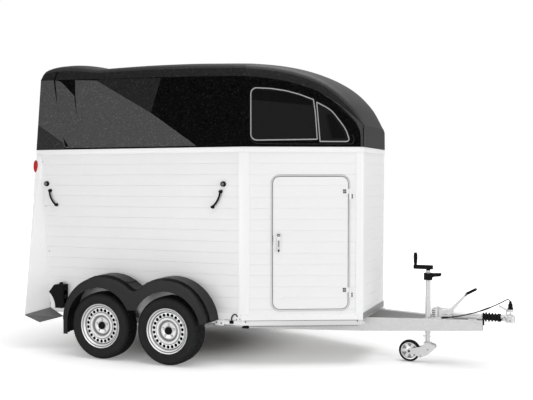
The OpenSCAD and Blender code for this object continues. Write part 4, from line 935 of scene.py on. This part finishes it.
def build_sill_details():
    """Rivets, bolts, corner pieces, dark strips of painted shade along the seams and, behind the front wheel, the
    rope hook and its small plates.
    """
    b = Build()
    for side in SIDES:
        flank, nose = on_side(side), on_nose(side)
        for s in (36, 202, 368, 534, 700, 866, 1020):
            b.screw(moved(nose, s, RIVET_Z), 4.5, 2, BRIGHT, 4)
        b.screw(moved(flank, -1990, RIVET_Z), 4.5, 2, BRIGHT, 4)
        for place, outline, layers, look in (
                (nose, rect(1046, 420, 1078, 482, 4), [(0, 3.8), (0, 6.5), (1.5, 8)], TRIM),
                # Painted shade: dark strips in the gaps under the sill strip and along the rail's lower edge
                (nose, rect(2, SEAM_Z, 1045, SEAM_Z + 3), [(0, -0.5), (0, 4.3)], SHADE),
                (nose, rect(2, 364, 1045, 366.5), [(0, -0.5), (0, 2.6)], SHADE),
                (flank, rect(-175, SEAM_Z, -2, SEAM_Z + 3), [(0, -0.5), (0, 4.3)], SHADE),
                (nose, rounded([(1058, 378, 6), (1085, 378, 12), (1085, 410, 12), (1058, 410, 6)], 6),
                 [(0, 1.5), (0, 4.5), (1.5, 5.5)], ALLOY),
                (flank, rect(-268.5, 361, -181.5, 411, 4, 6), [(0, 2.2), (0, 6), (1.5, 8)], TRIM),
                (flank, rect(-68, 419, -4, 479, 5, 6), [(0, 3.8), (0, 12), (2, 15)], TRIM),
                (flank, rect(-124, 384, -84, 412, 4), [(0, 2.2), (0, 8), (2, 10)], BLACK),
                (flank, rounded([(-8, 348, 4), (58, 348, 4), (50, 370, 14), (0, 370, 14)], 5),
                 [(0, -38), (0, -8), (4, -4)], BLACK)):
            b.plate(outline, place, layers, look)
        for place, x, z, r, h, base in ((nose, 17, 407, 7, 5, 2), (nose, 1039, 408, 7, 5, 2),
                                        (flank, -254, 389, 8, 6, 8), (flank, -205, 382, 8, 6, 8)):
            b.hexagon(moved(place, x, z), r, h, DARK_PANEL, base)
        for x, z, r, h, base in ((-50, 428, 6, 3, 15), (-16, 434, 6, 3, 15), (-2187, 1880, 5, 2.5, 0),
                                 (-2149, 1432, 5, 2.5, 0), (-2115, 982, 5, 2.5, 0)):
            b.screw(moved(flank, x, z), r, h, DARK_PANEL, base)
        b.turned([(0, 0), (5, 0), (5, 5), (8, 5.5), (12, 5.5), (13, 4), (13, 0)], moved(nose, 1098, 392),
                 BRIGHT, 24)
        hook = [(-103, 404, 6), (-101, 432, 12), (-90, 458, 16), (-70, 474, 18), (-50, 470, 18), (-40, 452, 16)]
        b.tube(smooth_through([flank(*p) for p in hook], 4), 5.5, BLACK)
        b.turned([(0, -9), (6, -7), (9, 0), (6, 7), (0, 9)], moved(flank, -40, 450), BLACK, 16)
    # The front face's strip in a darker alloy: painted shade and a painted dark reflection
    b.plate(rect(-400, 421, 400, 480), ahead_at(NOSE, 0, 0), [(0, 3.4), (0, 4.6), (1, 5.2)], FRONT_STRIP_SHADED)
    b.piece("sill_fittings", slot="bare_alloy")


def build_markers():
    """An oval red lamp on a black base, on each rear column. A short pin joins the two."""
    b = Build()
    oval = [(24 * x, 60 * z) for x, z in circle(1, 40)]
    for side in SIDES:
        def place(u, v, h):
            return -2262 + h * 0.2 + u, side * (874 + h), 1831 + v
        b.turned([(0, -6), (1, -6), (1, 4), (0, 4)], place, BLACK, 8)
        b.plate(oval, place, [(-2, -8), (-2, 1), (0, 2)], BLACK)
        b.plate(oval, place, [(1, 2), (1.5, 8), (5, 12), (10, 14)], RED)
    b.piece("side_markers", slot="lamp_red")


def build_knobs():
    b = Build()
    for side in SIDES:
        for x in (REAR + 123, BEND - 200):
            knob = moved(on_side(side), x, 1658)
            b.turned([(0, 22.2), (22.3, 22.2), (23.5, 20), (23.8, 12), (25.5, 6), (26, 0.6), (22.4, 0.6),
                      (22.4, 22.2)], knob, BLACK, 32, closed=True)
            b.turned([(0, 22.3), (14, 22.3), (13.2, 24.2), (6, 25.4), (0, 25.6)], knob, DARK_PANEL, 24)
    b.piece("wall_knobs", slot="black_plastic")


build_sill_details()
build_markers()
build_knobs()

# Drawbar gear
BEAM_TIP_X = NOSE + 1022
BALL_X = TIP - 42
DRAW_Z = 447
PLATE_TOP, HOUSING_HALF = 425.3, 42
JOCKEY_TRAIL, JOCKEY_R = 168, 100
BEAM_A = radians(14.95)
BRACKET_X = BEAM_TIP_X - 458
TUBE_X = BRACKET_X + 189
JOCKEY_X = BEAM_TIP_X - 482 * cos(BEAM_A) - 86 * sin(BEAM_A)
JOCKEY_Y = -26 - 482 * sin(BEAM_A) + 86 * cos(BEAM_A)


def on_beam(side):
    """The outer face of one drawbar beam: distance back from its tip, height and distance out."""
    return lambda s, z, d: (BEAM_TIP_X - s * cos(BEAM_A) + d * sin(BEAM_A),
                            side * (26 + s * sin(BEAM_A) + d * cos(BEAM_A)), z)


def build_drawbar_details():
    """Bolts, dark strips of painted shade in the bracket's gaps and seams, and the handbrake's grip."""
    b = Build()
    for side in SIDES:
        for s in (60, 120):
            b.hexagon(moved(on_beam(side), s, 396), 8, 6, ZINC)
        for y, r, h, xs in ((100, 9, 8, (BRACKET_X + 18, BRACKET_X + 74)),
                            (36, 7, 6, (BEAM_TIP_X - 118, BEAM_TIP_X - 66))):
            for x in xs:
                b.hexagon(top_at(x, side * y, PLATE_TOP), r, h, ZINC)
        bracket, housing = (side_at(x, side * HOUSING_HALF, 0, side) for x in (BRACKET_X, TUBE_X))
        # Painted shade between the bracket's ribs and along its seams
        for i in range(5):
            b.plate(rect(1, 404.5 + 19 * i, 33.5, 413.5 + 19 * i), bracket, [(0, 1.5), (0, 3.5)], DARK_PANEL)
        b.plate(rect(58.2, 425.5, 61, 494), bracket, [(0, 1.5), (0, 3)], DARK_PANEL)
        b.plate(rect(94, 452, 187, 454.5), bracket, [(0, -0.5), (0, 0.8)], DARK_PANEL)
        b.screw(moved(housing, -46, DRAW_Z - 4), 9, 5, BRIGHT)
        b.plate(rect(-92, 431, -62, 447, 4), housing, [(0, -0.5), (0, 1), (1, 1.5)], BRIGHT)
    b.hexagon(side_at(TUBE_X + 124, -50.6, 642), 8, 6, BLACK)
    b.tube([(TUBE_X + x, -46.3, z) for x, z in ((122, 651.5), (130, 656), (212, 702), (219, 706))],
           [10, 13, 13, 8], BLACK, 20)
    b.piece("drawbar_bolts", slot="galvanised")


def build_gaiter():
    """The bellows with its four ridges."""
    b = Build()
    outline = [(0, 0.5), (36, 0.5), (36, 8)]
    for i, peak in enumerate((45, 43.5, 42, 40)):
        x = 10 + 28 * i
        outline += [(27, x), (30, x + 5), (peak - 2, x + 11), (peak, x + 14), (peak - 2, x + 17), (30, x + 23)]
    outline += [(27, 122), (34, 126), (37, 130), (37, 142), (33, 147), (30, 149.5), (0, 149.5)]
    b.turned(outline, ahead_at(BEAM_TIP_X + 3, 0, DRAW_Z), RUBBER, 48)
    b.piece("gaiter", slot="rubber", replaces=["bellows"], smooth=50)


def build_coupling_fittings():
    """The strap and the rings at the bellows, and the coupling's bolts."""
    b = Build()
    b.plate(box_outline(16, 60, 3), side_at(BEAM_TIP_X + 6, -12, 402), [(0, -8), (0, 8), (1.5, 10)], BLACK)
    for x, ring in ((3, [(31, -4), (37, -4), (38, -2), (38, 6), (37, 8), (31, 8)]),
                    (152, [(28, -6), (35, -6), (36, -4), (36, 4), (35, 6), (28, 6)])):
        b.turned(ring, ahead_at(BEAM_TIP_X + x, 0, DRAW_Z), BLACK, 32, closed=True)
    b.hexagon(side_at(BEAM_TIP_X + 158, -30, DRAW_Z - 14), 13, 12, BLACK)
    for x, z in ((-66, -2), (-38, -2), (-50, 12)):
        for side in SIDES:
            b.screw(side_at(BALL_X + x, side * 29, DRAW_Z + z, side), 6, 5, DARK_PANEL)
    b.screw(side_at(BALL_X, -42, DRAW_Z - 16), 6, 3, DARK_PANEL, -0.5)
    b.piece("coupling_fittings", slot="black_plastic")


def build_jockey_roller():
    """The jockey wheel: tyre, rim, hub, web and six spokes; the web is a darker grey, painted shade in the pockets
    between the spokes.
    """
    b = Build()
    wheel = side_at(JOCKEY_X - JOCKEY_TRAIL, JOCKEY_Y, JOCKEY_R, 1)
    for profile, look, steps in (([(78, -22), (84, -25), (92, -25), (97, -21), (100, -12)], RUBBER, 64),
                                 ([(69, -17), (72, -23), (78, -24), (80, -21)], BRIGHT, 64),
                                 ([(8.1, -25), (19, -25), (20, -23), (22, -9), (36, -7)], BRIGHT, 48),
                                 # The web in darker grey: painted shade in the pockets between the spokes
                                 ([(34, -2.5), (70, -2.5)], SPOKE_GREY, 48)):
        b.turned(profile + [(r, -y) for r, y in reversed(profile)], wheel, look, steps, closed=True)
    for i in range(6):
        spoke = [polar(70.5, radians(60 * i + a)) for a in (-13, -6.5, 0, 6.5, 13)]
        spoke += [polar(34, radians(60 * i + a)) for a in (21, 0, -21)]
        b.plate(spoke, wheel, [(2, -8), (0, -6), (0, 6), (2, 8)], BRIGHT)
    b.piece("jockey_roller", "jockey_roller", "rubber", ["jockey_wheel"])


def build_jockey_fork_parts():
    """Axle caps, screws, the collar on the fork, and its pin with the spring clip."""
    b = Build()
    for side in SIDES:
        hub = side_at(JOCKEY_X - JOCKEY_TRAIL, JOCKEY_Y + side * 39, JOCKEY_R, side)
        b.turned([(0, -0.5), (10, -0.5), (10, 3), (8, 6), (0, 7)], hub, BLACK, 24)
        cheek = side_at(JOCKEY_X, JOCKEY_Y + side * 35.5, 0, side)
        b.screw(moved(cheek, 6, 126), 6, 4, DARK_PANEL)
        b.screw(moved(cheek, -62, 62), 5, 3, DARK_PANEL)
    b.turned([(0, 0), (24, 0), (24, 10), (21, 14), (0, 14)], top_at(JOCKEY_X, JOCKEY_Y, 184), ZINC, 32)
    post = top_at(JOCKEY_X, JOCKEY_Y)
    b.tube([post(-40, 0, 246), post(30, 0, 246)], 4, ZINC, 10)
    b.turned([(0, -4), (7, -4), (7, 4), (0, 4)], ahead_at(JOCKEY_X - 38, JOCKEY_Y, 246), ZINC, 16)
    clip = [post(-22, -21, 250), post(-24, -22, 236), post(-20, -22, 222), post(-12, -22, 218)]
    b.tube(smooth_through(clip, 3), 2, ZINC, 8)
    b.piece("jockey_fork_parts", "jockey_swivel", "galvanised")


def build_crank():
    b = Build()
    post = top_at(JOCKEY_X, JOCKEY_Y)
    arm = rounded([(-137, -17, 14), (45, -17, 14), (45, 17, 14), (-137, 17, 14)])
    b.plate(arm, post, [(2, 868), (0, 870), (0, 904), (2, 906)], BLACK)
    b.turned([(0, 858.5), (19, 858.5), (19, 868), (0, 868)], post, BLACK, 32)
    b.turned([(0, 900), (13, 900), (13, 914), (16, 920), (18, 950), (19, 985), (17, 1010), (12, 1020),
              (0, 1022)], moved(post, -118, 0), BLACK, 32)
    b.piece("crank_handle", slot="black_plastic", replaces=["jockey_crank"], smooth=40)


build_drawbar_details()
build_gaiter()
build_coupling_fittings()
build_jockey_roller()
build_jockey_fork_parts()
build_crank()


def lead_route():
    """The lead's middle line: one long bend that rises forward, and a short one down into the plug."""
    start = Vector((BRACKET_X + 93.6, -62, 423))
    along = atan2(62, BALL_X - start.x)
    reach, rise = hypot(BALL_X - start.x, 62), 592.5 - 423
    bend, low = 24, radians(5)
    a, b = radians(10), radians(70)
    for _ in range(40):
        turn = (a + b) / 2
        u, w = reach - bend * (1 + sin(turn)), rise + bend * cos(turn)
        if (low + turn) / 2 < atan2(w, u):
            a = turn
        else:
            b = turn
    r = hypot(u, w) / 2 / sin((turn - low) / 2)
    flat = []
    for i in range(25):
        g = low + (turn - low) * i / 24
        flat.append((r * (sin(g) - sin(low)), r * (cos(low) - cos(g))))
    for i in range(1, 15):
        x, z = polar(bend, (pi / 2 + turn) * (1 - i / 14))
        flat.append((u + bend * sin(turn) + x, w - bend * cos(turn) + z))
    points = [start + Vector((x * cos(along), x * sin(along), z)) for x, z in flat]
    return points, sum((p - q).length for p, q in zip(points[1:], points)) * MM


def build_lead():
    route, length = lead_route()
    b, c = Build(), Build()
    b.tube(route, 5, RUBBER, 16)
    lead = b.piece("plug_cable", slot="rubber", replaces=["plug_lead"])
    c.tube(route[0:3], [8.5, 7.5, 6], RUBBER, 16)
    c.tube(route[14:19], [5.6, 7.4, 7.6, 7.4, 5.6], RUBBER, 16)
    sleeve = c.piece("plug_cable_sleeve", slot="rubber")
    path = [[v * MM for v in p] for p in route]
    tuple(path[0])


# Soft pieces
BAR_HALF = 829


def tarp_rows():
    """Half the opening's width at heights from the cloth's lower edge up to the crown."""
    half = [(-y, z) for _, y, z in hood_section(HOOD_ROWS[1][0], HOOD_T + 2) if y < 0.001]
    side = [(HALF - 32, 1908), (HALF - 32, HOOD_Z - 4)] + [(min(y, HALF - 10), z) for y, z in half[1:]]
    rows = []
    for (y0, z0), (y1, z1) in zip(side, side[1:]):
        count = max(1, round((z1 - z0) / 30))
        rows += [(y0 + (y1 - y0) * i / count, z0 + (z1 - z0) * i / count) for i in range(count)]
    return rows + [side[-1]]


def build_tarp():
    """The rear cloth with long soft folds, its hem and its three straps."""
    rows = tarp_rows()
    low, top = rows[0][1], rows[-1][1]
    columns = 72
    x = HOOD_ROWS[1][0] + 1.5
    front, back = [], []
    for half, z in rows:
        for j in range(columns + 1):
            u = 2 * j / columns - 1
            fade = (1 - u * u) * min(1, (z - low) / 80) * min(1, (top - z) / 200)
            wave = 5 * sin(9 * u + 0.002 * z) + 2.5 * sin(23 * u + 0.004 * z + 1)
            for skin, thick in ((front, 0), (back, 1.6)):
                skin.append((x + thick + fade * wave, u * max(half, 3), z))
    b, c = Build(), Build()
    b.skins(front, back, columns + 1, TARP)
    tarp = b.piece("rear_cloth", slot="tarp", replaces=["rear_tarp"])
    c.tube([(x - 1.5, u * (HALF - 34), low + 3) for u in (-1, -0.5, 0, 0.5, 1)], 5, TARP, 10)
    for y in (-520, 0, 520):
        c.plate(box_outline(26, 110, 3), ahead_at(x - 3, y, 1948, -1), [(0, 0), (0, 2.5), (0.5, 3)], BLACK)
    trim = c.piece("rear_cloth_hem", slot="tarp")
    area = sum((y0 + y1) * (z1 - z0) for (y0, z0), (y1, z1) in zip(rows, rows[1:]))


def build_partition():
    """The padded partition, crowned between its seams, and its two posts."""
    x0, x1 = REAR + 380, BEND - 150
    b, c = Build(), Build()
    for x in (x0, x1):
        b.plate(box_outline(40, 40, 4), top_at(x + 20, 0, 470), [(0, 0), (0, 1478)], ZINC)
    b.piece("partition_posts", slot="galvanised")
    left, right, low, high = x0 + 41, x1 - 1, 620, 1620
    columns, levels = 96, 40
    skins = [], []
    for i in range(levels + 1):
        v = 2 * i / levels - 1
        for j in range(columns + 1):
            u = 2 * j / columns - 1
            crown = (1 - u ** 10) ** 0.4 * (1 - v ** 8) ** 0.4
            seam = min(abs((u * 4) % 1 - 0.5), 0.5) * 2
            thick = max(0.5, 20 * crown * (1 - 0.3 * exp(-((1 - seam) / 0.1) ** 2)))
            for skin, side in zip(skins, SIDES):
                skin.append(((left + right) / 2 + u * (right - left) / 2, side * thick,
                             (low + high) / 2 + v * (high - low) / 2))
    c.skins(*skins, columns + 1, PAD)
    c.piece("partition_pad", slot="padding", replaces=["partition"], smooth=60)


def build_bars():
    """The breast and breech bars: a rod with a flange at each end, in a sewn sleeve."""
    b, c = Build(), Build()
    sleeve = [(12.2, -800), (17, -800), (19, -796)]
    sleeve += [(20 - 1.2 * abs(sin(pi * i / 5)) ** 8, -780 + 39 * i) for i in range(41)]
    sleeve += [(19, 796), (17, 800), (12.2, 800)]
    for x in (REAR + 200, BEND - 80):
        rod = side_at(x, 0, 1050, 1)
        b.turned([(0, -BAR_HALF), (12, -BAR_HALF), (12, BAR_HALF), (0, BAR_HALF)], rod, ZINC, 24)
        c.turned(sleeve, rod, PAD, 32, closed=True)
        for side in SIDES:
            flange = side_at(x, side * BAR_HALF, 1050, -side)
            b.turned([(12, 0), (26, 0), (26, 6), (12, 8)], flange, ZINC, 24, closed=True)
    b.piece("bar_rods", slot="galvanised")
    c.piece("bar_sleeves", slot="padding", replaces=["stall_bars"])


build_tarp()
build_partition()
build_bars()


# Rear: lamp fields and the ramp's edging and grips
BACK_A = atan(30 / (1948 - 357))


def on_back(z0, side):
    """The leaning rear face of the columns: distance out from the middle, height along it, distance back."""
    def place(y, v, d):
        along = z0 + v
        return (REAR - 30 + along * sin(BACK_A) - d * cos(BACK_A), side * y,
                357 + along * cos(BACK_A) + d * sin(BACK_A))
    return place


def build_rear():
    """The lamps' fields, and the ramp's edging, ribs, grips and mat."""
    lamps, ramp = Build(), Build()
    for side in SIDES:
        place = moved(on_back(295, side), HALF + 35, 0)
        lamps.border(box_outline(114, 264, 15), place, [(0, 0.5), (0, 12), (2, 14), (2.2, 0.5)], BLACK)
        for v, h, look in ((88, 66, AMBER), (4, 92, RED), (-78, 56, CLEAR)):
            lamps.plate(box_outline(96, h, 10), moved(place, 0, v), [(0, 20.5), (0, 22), (2, 24)], look)
    lamps.piece("lamp_fields", slot="lamp_red")
    w, low, high = 797, 476, 1936
    back = ahead_at(REAR - 20, 0, 0, -1)
    edging = [(1, -0.5), (1, 2.5), (2, 3.5), (34, 3.5), (36, 2), (36, -0.5)]
    ramp.border(rect(-w, low, w, high), back, edging, ALLOY)
    for z in range(high - 136, low + 50, -100):
        ramp.plate(rect(37 - w, z - 2, w - 37, z + 2), back, [(0, -0.5), (0, 0.6), (1, 1.4)], TRIM)
    for side in SIDES:
        grip = [back(side * 560, z, d)
                for z, d in ((1560, 0), (1560, 22), (1570, 30), (1690, 30), (1700, 22), (1700, 0))]
        ramp.tube(smooth_through(grip, 4), 8, BLACK)
        for z in (1560, 1700):
            ramp.turned([(0, 0.5), (20, 0.5), (20, 6), (16, 9), (0, 9)], moved(back, side * 560, z), BLACK, 24)
    ramp.plate(rect(20 - w, low + 20, w - 20, high - 20), ahead_at(REAR + 30, 0, 0), [(0, -0.5), (0, 3.5), (4, 5)],
               RUBBER)
    ramp.piece("ramp_trim", "ramp", "bare_alloy")


build_rear()

refine(0, "mudguard_right", "mudguard_left", angle=24)
refine(2, "wheel_chocks", "jockey_collar", "plug", "wall_handles")
refine(1.5, "coupling_head", "overrun_housing", "jockey_tube", "jockey_fork", "handbrake_lever", "corner_cover")
refine(2, "wall_posts", "belt_rail", "rear_frame", "drawbar", "sill_rail", "lamps")
refine(0.8, "sill_strip", "door_frame", "door_hinges", "door_fittings")
refine(0, *[name for name in nodes if name.startswith(("rim_", "axle_"))], angle=35)
build_lead()


# Studio
FLOOR_REACH, WORLD_LIGHT = 60, 0.46


def add_floor():
    """A plain floor that glows white to the camera far off; near the trailer the glow fades so its real shadow
    shows, and a ring of painted light round the wheels lightens that shadow.
    """
    mesh = bpy.data.meshes.new("floor")
    mesh.from_pydata([(x, y, 0) for x, y in rect(-FLOOR_REACH, -FLOOR_REACH, FLOOR_REACH, FLOOR_REACH)], [],
                     [(0, 1, 2, 3)])
    floor = bpy.data.objects.new("floor", mesh)
    floor.location.z = -0.0005
    bpy.context.scene.collection.objects.link(floor)
    m = Shader("floor", Roughness=0.9, Specular_IOR_Level=0.0, Base_Color=0.86, Emission_Color=1.0)

    def away(x):
        return m.node("VectorMath", {0: m.place, 1: (x, 0, 0)}, operation="DISTANCE").outputs["Value"]

    wheels = away(WHEEL_MIDDLE)
    # Painted light: a ring of glow round the wheels that lightens the floor's shadow there
    rise = m.span(wheels, 0.35, 1.35, 0.0, 0.3, smooth=True)
    fall = m.span(wheels, 1.6, 3.2, 1.0, 0.1, smooth=True)
    wide = m.span(away(0), 1.5, 6.2, 0.0, 1.1, smooth=True)
    m.set(Emission_Strength=m.maths("MULTIPLY", m.seen(), m.maths("ADD", wide, m.maths("MULTIPLY", rise, fall))))
    mesh.materials.append(m.material)


def add_world():
    """Plain white light, and a white backdrop for the camera and through glass."""
    world = bpy.data.worlds.new("world")
    bpy.context.scene.world = world
    w = Tree(world, "OutputWorld")
    light, backdrop = (w.node("Background", {"Color": grey(1.0), "Strength": strength}).outputs[0]
                       for strength in (WORLD_LIGHT, 1.0))
    w.feed(w.out, w.node("MixShader", {0: w.seen(), 1: light, 2: backdrop}).outputs[0])


def add_light(name, place, target, size, power):
    data = bpy.data.lights.new(name, "AREA")
    data.shape = "RECTANGLE"
    data.size, data.size_y = size
    data.energy = power
    light = bpy.data.objects.new(name, data)
    light.location = place
    light.rotation_euler = (Vector(target) - Vector(place)).to_track_quat("-Z", "Y").to_euler()
    bpy.context.scene.collection.objects.link(light)


add_floor()
add_world()
add_light("overhead", (1.0, 0.0, 6.5), (0, 0, 0), (7, 5), 345)
add_light("front_fill", (8, -2, 2.2), (0.8, 0, 1.0), (4, 3), 185)
add_light("low_fill", (-2.6, -8, 0.8), (-1.0, 0, 0.6), (6, 1.6), 184)

bpy.context.scene.view_settings.view_transform = "Standard"
